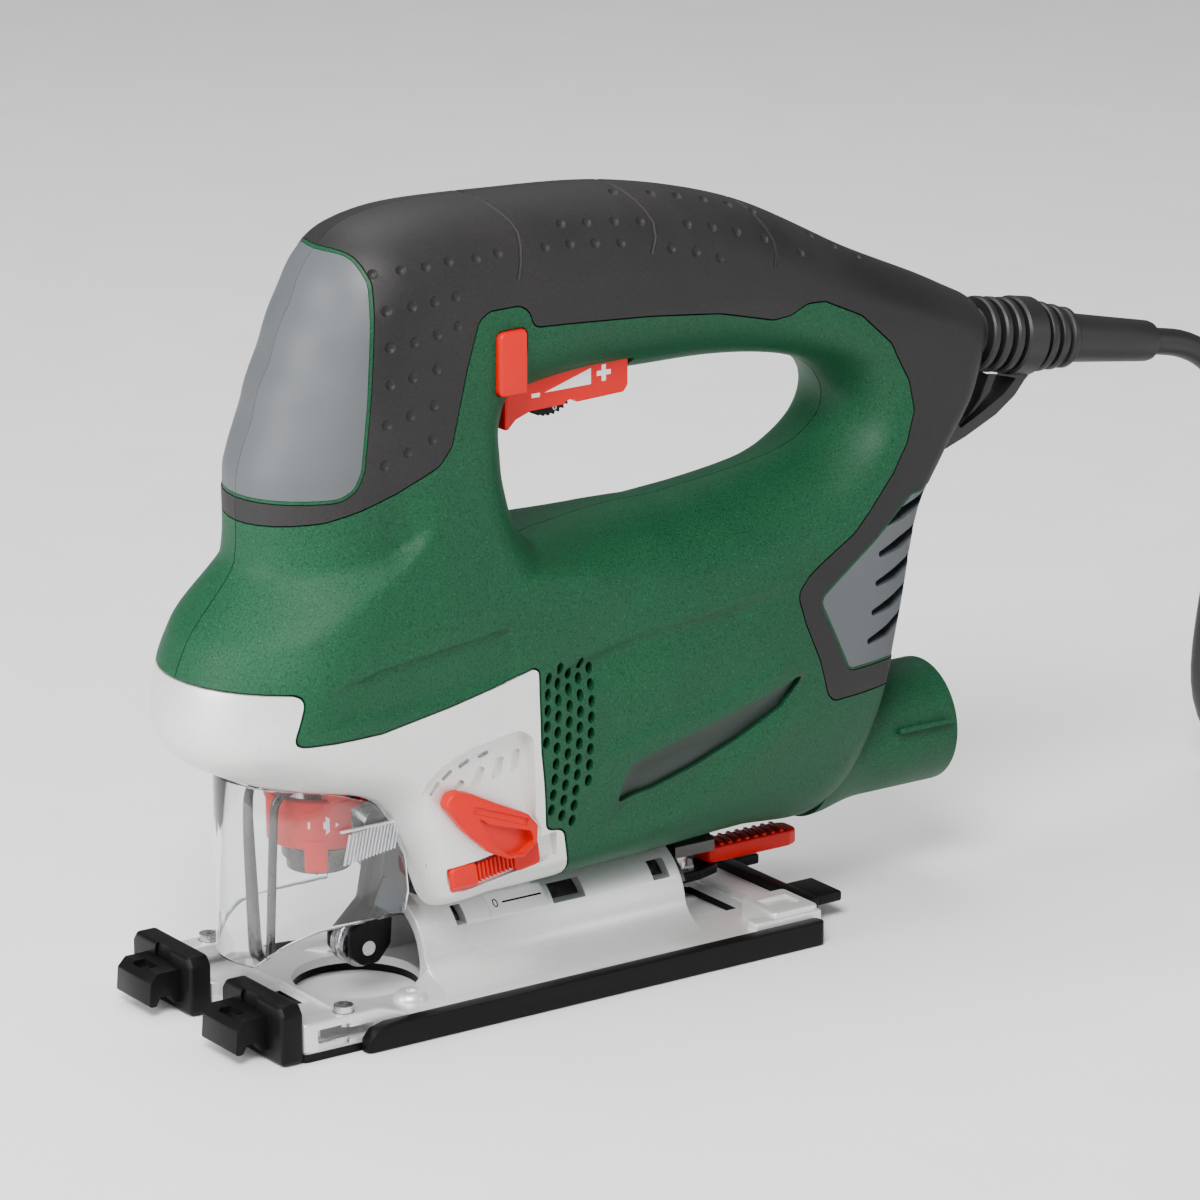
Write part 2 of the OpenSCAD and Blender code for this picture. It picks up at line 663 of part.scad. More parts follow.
// Bent wire that keeps fingers off the blade
module finger_guard() color([0.3, 0.3, 0.31])
  swept_tube([[-58.5, -6.5, guard_z], [-61.5, -6.6, guard_z], [-64.6, -6.7, guard_z - 0.7],
    [guard_x + 0.5, -6.6, guard_z - 3.6], [guard_x, -6.5, 51], [guard_x, -5.2, 36],
    [guard_x, -3.6, 19.5], [guard_x, -2.6, 16.8], [guard_x, 0, 15.8],
    [guard_x, 2.6, 16.8], [guard_x, 3.6, 19.5], [guard_x, 5.2, 36], [guard_x, 6.5, 51],
    [guard_x + 0.5, 6.6, guard_z - 3.6], [-64.6, 6.7, guard_z - 0.7],
    [-61.5, 6.6, guard_z], [-58.5, 6.5, guard_z]], 1.2, 8);

// Work light in the nose's underside
module work_light() color([0.95, 0.97, 1]) translate([light_x, 0, 65.4])
  cylinder(h = 8, r = light_r, $fn = fine);

// Outline of the cast plate, open at the front for the blade
module plate_outline(grow = 0) {
  difference() {
    translate([plate_front_x - grow, -plate_half_w - grow])
      square([plate_rear_x - plate_front_x + 2 * grow, 2 * (plate_half_w + grow)]);
    translate([plate_front_x - 20, -slot_half_w]) square([40 + 20, 2 * slot_half_w]);
    translate([-38, 0]) circle(r = blade_open_r, $fn = fine);
    translate([62, -14]) square([18, 28]);
  }
}

// Cast plate with the round cradle, toe walls, rims and rear block
module base_plate() color(cast) difference() {
  union() {
    translate([0, 0, plate_z]) linear_extrude(plate_t) plate_outline();
    translate([cradle_front_x, 0, tilt_z]) rotate([0, 90, 0])
      cylinder(h = cradle_rear_x - cradle_front_x, r = cradle_r, $fn = fine);
    for (s = [-1, 1]) {
      translate([cradle_front_x, s * 19 - 3, plate_z])
        cube([cradle_rear_x - cradle_front_x, 6, 4.6]);
      translate([-44, s * 35 - 2, plate_z]) cube([124, 4, 4]);
      translate([plate_front_x, s * 33.25 - 3.75, plate_z]) cube([33, 7.5, 8]);
      translate([plate_front_x, s * 22 - 14, plate_z]) cube([2.4, 28, wall_top - plate_z]);
      translate([73, s * 27.5 - 8, plate_z]) cube([15, 16, 7.6]);
      translate([66, s * 34.5 - 2.5, plate_z]) cube([22, 5, 6.4]);
    }
    translate([80.5, -20, plate_z]) cube([7.5, 40, 5]);
  }
  translate([cradle_front_x - 1, 0, tilt_z]) rotate([0, 90, 0])
    cylinder(h = cradle_rear_x - cradle_front_x + 2, r = cradle_r - cradle_wall, $fn = fine);
  translate([-100, -60, plate_z - 20]) cube([250, 120, 20]);
  translate([cradle_front_x - 1, -12, plate_z - 1]) cube([cradle_rear_x - cradle_front_x + 2, 24, 8]);
  // windows in the cradle for the detents
  for (x = [-20, 12, 50]) translate([x, -24, tilt_z + 9]) cube([5, 48, 4.5]);
  // slot for the parallel guide
  translate([fence_x, -60, plate_z + 1.6]) cube([fence_w, 120, fence_h]);
  for (s = [-1, 1]) translate([fence_x + fence_w / 2, s * screw_y, plate_z + 4]) {
    cylinder(h = 10, r = 1.65, $fn = fine);
    translate([0, 0, 3.2]) cylinder(h = 10, r = 2.9, $fn = fine);
  }
}

// Plastic sole that clips under the cast plate
module sliding_shoe() color([0.12, 0.12, 0.12]) {
  linear_extrude(shoe_t) plate_outline(0.5);
  for (s = [-1, 1]) {
    translate([-60, s * (plate_half_w + 0.3 + rail_w / 2) - rail_w / 2, 0])
      cube([146, rail_w, rail_h]);
    translate([-60, s * (plate_half_w + 0.3) - 0.4, 0]) cube([146, 0.8, shoe_t]);
    translate([plate_front_x - toe_t, s * 22.5 - 15, 0]) cube([toe_t - 0.1, 30, toe_h]);
    translate([plate_front_x - toe_t - 9.5, s * 21.5 - 8.5, 3]) cube([10, 17, 9]);
  }
  translate([plate_rear_x + 0.1, -30, 0]) cube([4, 60, 9]);
  for (s = [-1, 1]) translate([plate_rear_x + 4, s * 19 - 7, 4.6]) cube([11, 14, 3]);
}

// Steel bracket inside the cradle, hung from the body behind it
module clamp_bracket() color(steel) {
  difference() {
    translate([-18, 0, tilt_z]) rotate([0, 90, 0])
      cylinder(h = 78, r = cradle_r - cradle_wall - free_gap, $fn = fine);
    translate([-20, -20, tilt_z - 20]) cube([100, 40, 26]);
  }
  difference() {
    intersection() {
      translate([59, -9, 20.5]) cube([13, 18, 8]);
      translate([50, 0, tilt_z]) rotate([0, 90, 0])
        cylinder(h = 30, r = cradle_r + free_gap - 0.12, $fn = soft);
    }
    translate([clamp_x, 0, 10]) cylinder(h = 40, r = 3 + run_gap, $fn = fine);
  }
}

// Bolt that the clamping lever turns
module clamp_bolt() color(steel) translate([clamp_x, 0, 11.4]) {
  cylinder(h = 14.6, r = 3, $fn = fine);
  cylinder(h = 4.2, r = 5.2, $fn = 6);
}

// Ribbed red lever on a steel neck
module clamp_lever() {
  color(steel) difference() {
    hull() {
      translate([clamp_x, 0, 11.9]) cylinder(h = 2.8, r = 7.4, $fn = fine);
      translate([74, -4.4, 11.9]) cube([3, 8.8, 2.8]);
    }
    translate([clamp_x, 0, 10]) cylinder(h = 10, r = 5.22, $fn = 6);
  }
  color(red) translate([73.5, -4.4, 14.7]) {
    cube([clamp_grip_l, 8.8, 4.6]);
    for (i = [0:floor((clamp_grip_l - 4) / 3)]) translate([2 + 3 * i, 0, 4.6])
      cube([1.6, 8.8, 0.7]);
  }
}

// Rocking trigger
trigger_pivot = [5, 0, 169.5];
module trigger() color(red) difference() {
  translate([1.5, -trigger_w / 2, 0]) rotate([90, 0, 0]) mirror([0, 0, 1])
    linear_extrude(trigger_w) polygon([[0, 172], [7, 172], [trigger_l, 168.6],
      [trigger_l, 156], [trigger_l - 1.5, 154.3], [23, 154], [8, 153.6], [3.5, 152],
      [1.2, 149.6], [0, 149.8]]);
  translate([19 - dial_r - 1.2, -dial_w / 2 - free_gap, 145])
    cube([2 * dial_r + 2.4, dial_w + 2 * free_gap, 40]);
  translate(trigger_pivot) rotate([90, 0, 0])
    cylinder(h = 60, r = 1.5 + run_gap, center = true, $fn = fine);
  translate([19, 0, 159.3]) rotate([90, 0, 0])
    cylinder(h = 20, r = 1.5, center = true, $fn = fine);
}

module trigger_pin() color(steel) translate(trigger_pivot) rotate([90, 0, 0])
  cylinder(h = trigger_w + 4.6, r = 1.5, center = true, $fn = fine);

// Thumb wheel with knurled rim
module speed_dial() color([0.15, 0.15, 0.15]) translate([19, 0, 159.3])
  rotate([90, 0, 0]) {
    difference() {
      cylinder(h = dial_w, r = dial_r, center = true, $fn = fine);
      for (i = [0:23]) rotate(i * 15) translate([dial_r, 0, 0])
        cylinder(h = dial_w + 2, r = 0.6, center = true, $fn = 13);
    }
    cylinder(h = 19.5, r = 1.5 - run_gap, center = true, $fn = fine);
  }

// Push button that locks the trigger
module lock_button() color(red) {
  translate([-8, -25, 162]) cube([10, 8, 17]);
  translate([-6, -18, 165]) cube([6, 3.8, 8]);
}

// Lever for the orbital action, on a shaft through the casting
module orbital_lever() color(red) translate(lever_pivot) {
  rotate([-90, 0, 0]) cylinder(h = 14, r = 3.3, $fn = fine);
  rotate([90, 0, 0]) cylinder(h = 4.2, r = 5.5, $fn = fine);
  rotate([0, 33, 0]) rotate([90, 0, 0]) linear_extrude(4.2)
    polygon([[0, 6], [-lever_l + 5, 5], [-lever_l, 2.5], [-lever_l, -2.5],
      [-lever_l + 5, -5.4], [0, -6]]);
}

// Slide that turns the chip blower on
module blower_switch() color(red) translate(slide_at) rotate([0, -slide_tilt, 0]) {
  for (s = [-1, 1]) translate([s * (blower_l / 2 - 3.5) - 3.5, 0, -2.9])
    cube([7, 3.6, 5.8]);
  translate([-blower_l / 2 + 3, 0.4, -1.9]) cube([blower_l - 6, 3, 3.8]);
  for (i = [0:6]) translate([-5.3 + 1.6 * i, 0, -2.3]) cube([0.8, 1, 4.6]);
}

// Red collar that frees the blade
module release_lever() color(red) translate([plunger_x, 0, 0]) {
  difference() {
    translate([0, 0, 46]) cylinder(h = 12.5, r = 14, $fn = fine);
    translate([0, 0, 45]) cylinder(h = 15, r = 12, $fn = fine);
    translate([2, -20, 45]) cube([30, 40, 11]);
    translate([-20, 3, 45]) cube([40, 20, 11]);
  }
  rotate(238) translate([12.4, -3, 40.5]) cube([2.4, 6, 8]);
  translate([-4, -13.6, 57]) cube([5.5, 4, bush_low_z - 57 - free_gap]);
}

// Plunger with its yoke plate
module plunger() color(steel) {
  translate([plunger_x, 0, clamp_z + 6]) cylinder(h = bush_high_z + bush_h + 4 - clamp_z,
    r = plunger_r, $fn = fine);
  difference() {
    union() {
      translate([yoke_x - yoke_t, -17, gear_z - 7.5]) cube([yoke_t, 34, 15]);
      translate([plunger_x, -4, gear_z - 7.5]) cube([yoke_x - yoke_t - plunger_x, 8, 15]);
    }
    translate([yoke_x - yoke_t + 1.2, -14.8, gear_z - pin_r - free_gap])
      cube([yoke_t, 29.6, 2 * (pin_r + free_gap)]);
  }
}

// Spring sleeve that grips the blade
module blade_clamp() color([0.25, 0.25, 0.26]) translate([plunger_x, 0, clamp_z]) difference() {
  union() {
    cylinder(h = clamp_h, r = clamp_r, $fn = fine);
    translate([0, 0, 3]) cylinder(h = 3, r = clamp_r + 1.2, $fn = fine);
  }
  translate([0, 0, 6]) cylinder(h = clamp_h, r = plunger_r, $fn = fine);
  translate([-4, -0.9, -1]) cube([8, 1.8, 7]);
}

module plunger_bushes() color([0.72, 0.55, 0.3])
  for (z = [bush_low_z, bush_high_z]) translate([plunger_x, 0, z]) difference() {
    cylinder(h = bush_h, r = plunger_r + bush_wall - 0.02, $fn = fine);
    translate([0, 0, -1]) cylinder(h = bush_h + 2, r = plunger_r + run_gap, $fn = fine);
  }

// Mass that moves against the plunger
module counterweight() color(steel) difference() {
  translate([weight_x, -20, gear_z - 16]) cube([weight_t, 40, 32]);
  translate([weight_x - 1, -cam_r - weight_throw - 0.6, gear_z - cam_r - 0.4])
    cube([weight_t + 2, 2 * (cam_r + weight_throw + 0.6), 2 * cam_r + 0.8]);
  translate([weight_x - 1, -axle_r - 0.6, gear_z - 12.5]) cube([weight_t + 2, 2 * axle_r + 1.2, 25]);
}

// Toothed outline: m module, n teeth, share of the pitch that a tooth takes
module toothed(m, n, share) {
  r = m * n / 2;
  polygon([for (i = [0:n - 1]) for (c = [[-share * 1.25, -1.1], [-share * 0.5, 0.85],
    [share * 0.5, 0.85], [share * 1.25, -1.1]])
    let (a = 360 / n * (i + c[0] / 2)) (r + c[1] * m) * [cos(a), sin(a)]]);
}

module drive_gear() color(steel) translate([gear_x, 0, gear_z]) rotate([90, 0, 90]) difference() {
  union() {
    rotate(90) linear_extrude(gear_w) toothed(gear_m, gear_teeth, 0.36);
    translate([throw, 0, pin_tip_x - gear_x]) cylinder(h = gear_x - pin_tip_x + 1, r = pin_r, $fn = fine);
    translate([-weight_throw, 0, gear_w]) cylinder(h = cam_w, r = cam_r, $fn = fine);
  }
  translate([0, 0, -1]) cylinder(h = gear_w + cam_w + 2, r = axle_r + run_gap, $fn = fine);
}

module gear_axle() color(steel) translate([gear_x - 0.5, 0, gear_z]) rotate([0, 90, 0])
  cylinder(h = frame_x + frame_t - gear_x + 0.5, r = axle_r - 0.02, $fn = fine);

// Armature shaft with the pinion cut on its end
module armature_shaft() color(steel) translate([0, 0, motor_z]) {
  translate([gear_x + gear_w + cam_w, 0, 0]) rotate([0, 90, 0])
    cylinder(h = rear_bearing_x + rear_bearing_w + 1 - gear_x - gear_w - cam_w, r = shaft_r - 0.02, $fn = fine);
  translate([gear_x - 1.5, 0, 0]) rotate([90, 0, 90]) rotate(90)
    linear_extrude(gear_w + cam_w + 1.5) toothed(gear_m, pinion_teeth, 0.36);
}

// Laminated core with winding heads
module armature_core() color([0.6, 0.42, 0.25]) translate([0, 0, motor_z]) rotate([0, 90, 0]) difference() {
  union() {
    translate([0, 0, stator_x + 1]) cylinder(h = stator_l - 2, r = core_r, $fn = fine);
    translate([0, 0, stator_x - 5]) cylinder(h = stator_l + 11, r = core_r - 2.5, $fn = fine);
  }
  translate([0, 0, 0]) cylinder(h = 100, r = shaft_r, $fn = fine);
}

module commutator() color([0.75, 0.45, 0.28]) translate([comm_x, 0, motor_z]) rotate([0, 90, 0]) difference() {
  cylinder(h = comm_l, r = comm_r, $fn = fine);
  translate([0, 0, -1]) cylinder(h = comm_l + 2, r = shaft_r, $fn = fine);
}

// Radial fan between motor and gears
module cooling_fan() color(black) translate([fan_x, 0, motor_z]) rotate([0, 90, 0]) difference() {
  union() {
    cylinder(h = 2, r = fan_r, $fn = fine);
    cylinder(h = fan_w, r = 8, $fn = fine);
    for (i = [0:10]) rotate(i * 360 / 11) translate([7, -0.8, 0])
      cube([fan_r - 8, 1.6, fan_w]);
  }
  translate([0, 0, -1]) cylinder(h = fan_w + 2, r = shaft_r, $fn = fine);
}

module stator() color(steel) translate([stator_x, 0, motor_z]) rotate([0, 90, 0]) difference() {
  cylinder(h = stator_l, r = stator_r, $fn = fine);
  translate([0, 0, -1]) cylinder(h = stator_l + 2, r = core_r + 0.6, $fn = fine);
}

module field_coils() color([0.7, 0.4, 0.2]) translate([0, 0, motor_z]) rotate([0, 90, 0])
  for (x = [stator_x - coil_over, stator_x + stator_l]) translate([0, 0, x]) difference() {
    cylinder(h = coil_over, r = stator_r - 3, $fn = fine);
    translate([0, 0, -1]) cylinder(h = coil_over + 2, r = core_r + 1.2, $fn = fine);
  }

// Ball bearing: rings with balls between them
module ball_bearing(outer, bore, w, balls) {
  mid = (outer + bore) / 2;
  ball = (outer - bore) * 0.27;
  difference() {
    cylinder(h = w, r = outer - 0.01, $fn = fine);
    translate([0, 0, -1]) cylinder(h = w + 2, r = mid + ball * 0.6, $fn = fine);
    translate([0, 0, w / 2]) rotate_extrude($fn = fine) translate([mid, 0]) circle(r = ball, $fn = 24);
  }
  difference() {
    cylinder(h = w, r = mid - ball * 0.6, $fn = fine);
    translate([0, 0, -1]) cylinder(h = w + 2, r = bore, $fn = fine);
    translate([0, 0, w / 2]) rotate_extrude($fn = fine) translate([mid, 0]) circle(r = ball, $fn = 24);
  }
  for (i = [0:balls - 1]) rotate(i * 360 / balls) translate([mid, 0, w / 2])
    sphere(r = ball - 0.02, $fn = 24);
}

module front_bearing() color(steel) translate([frame_x, 0, motor_z]) rotate([0, 90, 0])
  ball_bearing(bearing_r, shaft_r, frame_t, 7);
module rear_bearing() color(steel) translate([rear_bearing_x, 0, motor_z]) rotate([0, 90, 0])
  ball_bearing(rear_bearing_r, shaft_r, rear_bearing_w, 7);

// Plastic bridge with the rear bearing seat and both brush holders
module brush_carrier() color(black) {
  translate([rear_bearing_x, 0, motor_z]) rotate([0, 90, 0]) difference() {
    union() {
      cylinder(h = rear_bearing_w, r = rear_bearing_r + 3, $fn = fine);
      translate([-4, -23.3, 0]) cube([8, 46.6, rear_bearing_w]);
    }
    translate([0, 0, -1]) cylinder(h = rear_bearing_w + 2, r = rear_bearing_r, $fn = fine);
  }
  for (s = [-1, 1]) difference() {
    translate([comm_x + 2, s * 18.5 - 5.5, motor_z - 5]) cube([rear_bearing_x - comm_x - 1.9, 11, 10]);
    translate([comm_x + 3.6, s * 19 - 7, motor_z - 3.3]) cube([6.6, 14, 6.6]);
  }
}

module carbon_brushes() color([0.1, 0.1, 0.1]) for (s = [-1, 1])
  difference() {
    translate([comm_x + 3.9, s * 17.5 - 5.5, motor_z - 3]) cube([6, 11, 6]);
    translate([comm_x, 0, motor_z]) rotate([0, 90, 0])
      cylinder(h = comm_l, r = comm_r + free_gap, $fn = fine);
  }

// Switch in the handle, above the trigger
module switch_module() color([0.25, 0.25, 0.26]) {
  translate([9, -8.5, 176.2]) cube([38, 17, 16]);
  translate([47, -6, 180]) cube([5, 12, 8]);
}

module control_board() color([0.1, 0.35, 0.2]) {
  translate([63.5, -9, 174]) cube([22, 18, 1.6]);
  translate([65, -6, 175.6]) cube([8, 12, 5]);
  translate([76, -5, 175.6]) cube([7, 7, 4]);
}

module capacitor() color([0.85, 0.75, 0.2]) translate([113, -6, 158]) cube([16, 12, 12]);

// Leads from the boot to the switch
module mains_leads() color([0.35, 0.25, 0.2]) for (s = [-1, 1])
  swept_tube([[154.6, s * 2, 152.4], [146, s * 2.5, 155.4], [134, s * 8, 163],
    [112, s * 8.6, 170.5], [98, s * 9, 171.5], [88, s * 11.4, 174], [74, s * 11.4, 180],
    [64, s * 9, 190.5], [57, s * 7.4, 191.4], [54, s * 6, 191], [48.2, s * 4.5, 189.3]], 1.2, 8);

// Grooved roller behind the blade
module guide_roller() color(steel) translate([roller_x, 0, roller_z]) rotate([90, 0, 0]) difference() {
  cylinder(h = 6, r = roller_r, center = true, $fn = fine);
  cylinder(h = 8, r = 2 + run_gap, center = true, $fn = fine);
  rotate_extrude($fn = fine) translate([roller_r, 0]) circle(r = 1, $fn = 16);
}

module roller_pin() color(steel) translate([roller_x, 0, roller_z]) rotate([90, 0, 0])
  cylinder(h = 13, r = 2, center = true, $fn = fine);

// Fork that swings the roller
module roller_fork() color([0.22, 0.22, 0.23]) difference() {
  union() {
    for (s = [-1, 1]) translate([0, s * 5 - 1.5, 0]) rotate([90, 0, 0]) mirror([0, 0, 1])
      linear_extrude(3) polygon([[roller_x - 5, roller_z - 2], [roller_x - 2, roller_z - 4.6],
        [roller_x + 3, roller_z - 4.6], [roller_x + 7, roller_z], [-30.5, 22],
        [-25.5, 38], [-27, 44], [-31, 44.5], [-33, 42], [-36, 26], [roller_x - 5, 19]]);
    translate([-34.5, -3.6, 24]) rotate([0, 12, 0]) cube([5, 7.2, 13]);
  }
  translate([roller_x, 0, roller_z]) rotate([90, 0, 0]) cylinder(h = 30, r = 2, center = true, $fn = fine);
  translate([fork_x, 0, fork_z]) rotate([90, 0, 0]) cylinder(h = 30, r = 2 + run_gap, center = true, $fn = fine);
}

module fork_pin() color(steel) translate([fork_x, 0, fork_z]) rotate([90, 0, 0])
  cylinder(h = 46, r = 2, center = true, $fn = fine);

// Screws of the clamshell
module screw(l, head_r, shank_r) {
  difference() {
    cylinder(h = 2.6, r = head_r, $fn = fine);
    translate([0, 0, 1.2]) cylinder(h = 2, r = head_r * 0.5, $fn = 6);
  }
  translate([0, 0, -l]) cylinder(h = l + 0.5, r = shank_r, $fn = fine);
}

module housing_screws() color(steel) for (p = shell_screws)
  translate([p[0], screw_seat(p) + 0.05, p[1]]) rotate([-90, 0, 0])
    screw(screw_seat(p) + screw_bite, screw_head_r, screw_r);

module gearbox_screws() color(steel) for (s = [-1, 1])
  translate([frame_x + frame_t, s * lug_y, lug_z]) rotate([0, 90, 0]) screw(frame_t + 5, 3, 1.6);

// Rubber boot round the cable
module cable_boot() color([0.13, 0.13, 0.13]) translate(boot_root)
  rotate([0, 90 + boot_tilt, 0]) {
    translate([0, 0, -8]) cylinder(h = 4, r = 8.6, $fn = fine);
    translate([0, 0, -8]) cylinder(h = 32, r = 7.4, $fn = fine);
    for (u = [2, 6.4, 10.8]) translate([0, 0, u]) rotate_extrude($fn = fine)
      translate([6.5, 0]) square([boot_r - 6.5, 3]);
    translate([0, 0, 14.6]) cylinder(h = 7.6, r = boot_r + 0.6, $fn = fine);
    for (i = [0:2]) translate([0, 0, 24 + 4.4 * i])
      cylinder(h = 2.8, r = boot_r - 0.7 - 0.6 * i, $fn = fine);
    translate([0, 0, 22]) cylinder(h = boot_l - 22, r1 = 7, r2 = boot_tail_r, $fn = fine);
  }

// Bar that grips the cable inside the housing
module cord_clamp() color(black) translate([150.7, 0, 147.4])  {
  translate([-2.7, -12.7, 0]) cube([4, 25.4, 3]);
  for (s = [-1, 1]) translate([-0.7, s * 6, -1.6]) cylinder(h = 6, r = 1.6, $fn = fine);
}

// Rubber strap from the boot to the housing
module key_strap() color([0.13, 0.13, 0.13]) difference() {
  translate([0, 4, 0]) rotate([90, 0, 0]) linear_extrude(8) polygon([[184.5, 138],
    [181.5, 135.5], [178, 131.5], [171.5, 127], [161, 122.3], [154, 119.8], [148, 119.4],
    [151, 123.8], [155, 124.8], [161, 128], [165.5, 132.5], [168, 138], [171, 143],
    [184.5, 143]]);
  translate(boot_root) rotate([0, 90 + boot_tilt, 0])
    cylinder(h = 30, r = boot_r + 0.62, $fn = fine);
}

// Mains cable: down to the floor and from the coil to the plug
module cord_tube() color([0.1, 0.1, 0.1]) {
  swept_tube(cable_points, cable_r, 10);
  swept_tube(end_points, cable_r, 10);
}

module cord_coil() color([0.1, 0.1, 0.1]) translate([coil_x, coil_y, 0]) {
  rotate_extrude($fn = fine) translate([coil_mid_r - cable_d, 0])
    square([2 * cable_d, coil_top]);
  translate([-lead_l, coil_mid_r, 0]) cube([lead_l, cable_d, cable_d]);
  translate([-lead_l, -coil_mid_r - cable_d, cable_d]) cube([lead_l, cable_d, cable_d]);
}

// Two-pin contour plug
module plug() color([0.12, 0.12, 0.12]) translate([plug_x, plug_y, plug_z]) {
  rotate([0, -90, 0]) {
    cylinder(h = 22, r1 = cable_r + 0.8, r2 = 8, $fn = fine);
    translate([0, 0, 20]) intersection() {
      cylinder(h = 34, r = plug_w / 2, $fn = fine);
      translate([-plug_h / 2, -plug_w / 2, 0]) cube([plug_h, plug_w, 34]);
    }
  }
  color(steel) for (s = [-1, 1]) translate([-54, s * pin_pitch / 2, 0]) rotate([0, -90, 0])
    cylinder(h = pin_l, r = plug_pin_r, $fn = fine);
}

module fence_screws() color(steel) for (s = [-1, 1])
  translate([fence_x + fence_w / 2, s * screw_y, plate_z + 7.2]) screw(3, 2.6, 1.6);

housing_left();
housing_right();
grip_left();
grip_right();
front_pad_left();
front_pad_right();
rear_grille_left();
rear_grille_right();
gearbox_housing();
gear_frame();
dust_tube();
dust_duct();
chip_cover();
finger_guard();
work_light();
base_plate();
sliding_shoe();
clamp_bracket();
clamp_bolt();
clamp_lever();
trigger();
trigger_pin();
speed_dial();
lock_button();
orbital_lever();
blower_switch();
release_lever();
plunger();
blade_clamp();
plunger_bushes();
counterweight();
drive_gear();
gear_axle();
armature_shaft();
armature_core();
commutator();
cooling_fan();
stator();
field_coils();
front_bearing();
rear_bearing();
brush_carrier();
carbon_brushes();
switch_module();
control_board();
capacitor();
mains_leads();
guide_roller();
roller_fork();
roller_pin();
fork_pin();
housing_screws();
gearbox_screws();
cable_boot();
cord_clamp();
key_strap();
cord_tube();
cord_coil();
plug();
fence_screws();
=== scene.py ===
import math
import bpy
import numpy as np
from mathutils import Vector, Matrix
from mathutils.bvhtree import BVHTree


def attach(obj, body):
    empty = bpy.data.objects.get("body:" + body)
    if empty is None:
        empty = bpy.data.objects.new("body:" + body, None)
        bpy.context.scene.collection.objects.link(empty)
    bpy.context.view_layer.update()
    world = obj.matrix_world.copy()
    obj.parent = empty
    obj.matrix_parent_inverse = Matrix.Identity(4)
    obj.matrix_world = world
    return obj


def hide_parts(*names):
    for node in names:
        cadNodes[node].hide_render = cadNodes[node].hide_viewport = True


# Corded jigsaw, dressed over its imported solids. All sizes below are in millimetres.
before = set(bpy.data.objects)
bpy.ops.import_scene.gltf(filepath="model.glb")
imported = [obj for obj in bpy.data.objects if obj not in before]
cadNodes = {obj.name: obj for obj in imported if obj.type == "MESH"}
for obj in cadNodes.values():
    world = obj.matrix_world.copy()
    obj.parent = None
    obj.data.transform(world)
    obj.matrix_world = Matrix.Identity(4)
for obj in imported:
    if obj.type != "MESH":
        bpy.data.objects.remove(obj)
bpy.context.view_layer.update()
mm = 0.001

# camera, lamps and sky
cameraView = {"turn": -34.9, "rise": 16.3, "aim": (40.4, 0, 94.5), "away": 1543, "lens": 173.6}  # degrees and mm
turn, rise = math.radians(cameraView["turn"]), math.radians(cameraView["rise"])
backward = Vector((math.sin(turn) * math.cos(rise), -math.cos(turn) * math.cos(rise), math.sin(rise)))
cameraData = bpy.data.cameras.new("viewCamera")
camera = bpy.data.objects.new("viewCamera", cameraData)
bpy.context.scene.collection.objects.link(camera)
cameraData.lens, cameraData.sensor_width = cameraView["lens"], 36
cameraData.clip_start, cameraData.clip_end = 0.05, 50
camera.location = (Vector(cameraView["aim"]) + backward * cameraView["away"]) * mm
camera.rotation_mode = "QUATERNION"
camera.rotation_quaternion = (-backward).to_track_quat("-Z", "Y")
bpy.context.scene.camera = camera

lampAim = (60, 0, 70)
lamps = {
    "keyLamp": {"at": (-900, -900, 1500), "size": 800, "watts": 60, "tint": (1, 0.99, 0.97)},
    "sideLamp": {"at": (1300, -1300, 700), "size": 1000, "watts": 8, "tint": (0.97, 0.98, 1)},
    "frontLamp": {"at": (-1500, 200, 600), "size": 700, "watts": 24, "tint": (1, 1, 1)},
    "topLamp": {"at": (200, 500, 1700), "size": 1200, "watts": 22, "tint": (1, 1, 1)},
}
for lampName, lamp in lamps.items():
    lampData = bpy.data.lights.new(lampName, "AREA")
    lampData.size, lampData.energy, lampData.color = lamp["size"] * mm, lamp["watts"], lamp["tint"]
    lampObject = bpy.data.objects.new(lampName, lampData)
    bpy.context.scene.collection.objects.link(lampObject)
    lampObject.location = Vector(lamp["at"]) * mm
    aim = Vector(lampAim) * mm - lampObject.location
    lampObject.rotation_mode = "QUATERNION"
    lampObject.rotation_quaternion = aim.to_track_quat("-Z", "Y")
sky = bpy.data.worlds.new("studio")
bpy.context.scene.world = sky
sky.use_nodes = True
sky.node_tree.nodes["Background"].inputs["Color"].default_value = (0.93, 0.95, 0.98, 1)
sky.node_tree.nodes["Background"].inputs["Strength"].default_value = 0.24


# finishes: every look is built from noise on object coordinates
def newFinish(name):
    look = bpy.data.materials.new(name)
    look.use_nodes = True
    tree = look.node_tree
    shader = tree.nodes["Principled BSDF"]
    place = tree.nodes.new("ShaderNodeTexCoord")
    return look, tree, shader, place


def noiseOf(tree, place, grain, detail=2.0, stretch=None):  # grain is the feature size in mm
    noise = tree.nodes.new("ShaderNodeTexNoise")
    noise.inputs["Scale"].default_value = 1000 / grain
    noise.inputs["Detail"].default_value = detail
    if stretch:
        turn = tree.nodes.new("ShaderNodeMapping")
        turn.inputs["Scale"].default_value = stretch
        tree.links.new(place.outputs["Object"], turn.inputs["Vector"])
        tree.links.new(turn.outputs["Vector"], noise.inputs["Vector"])
    else:
        tree.links.new(place.outputs["Object"], noise.inputs["Vector"])
    return noise.outputs["Fac"]


def rampOf(tree, value, stops):  # stops: place and colour
    ramp = tree.nodes.new("ShaderNodeValToRGB")
    while len(ramp.color_ramp.elements) < len(stops):
        ramp.color_ramp.elements.new(0.5)
    for element, (at, colour) in zip(ramp.color_ramp.elements, stops):
        element.position, element.color = at, (*colour, 1)
    tree.links.new(value, ramp.inputs["Fac"])
    return ramp.outputs["Color"]


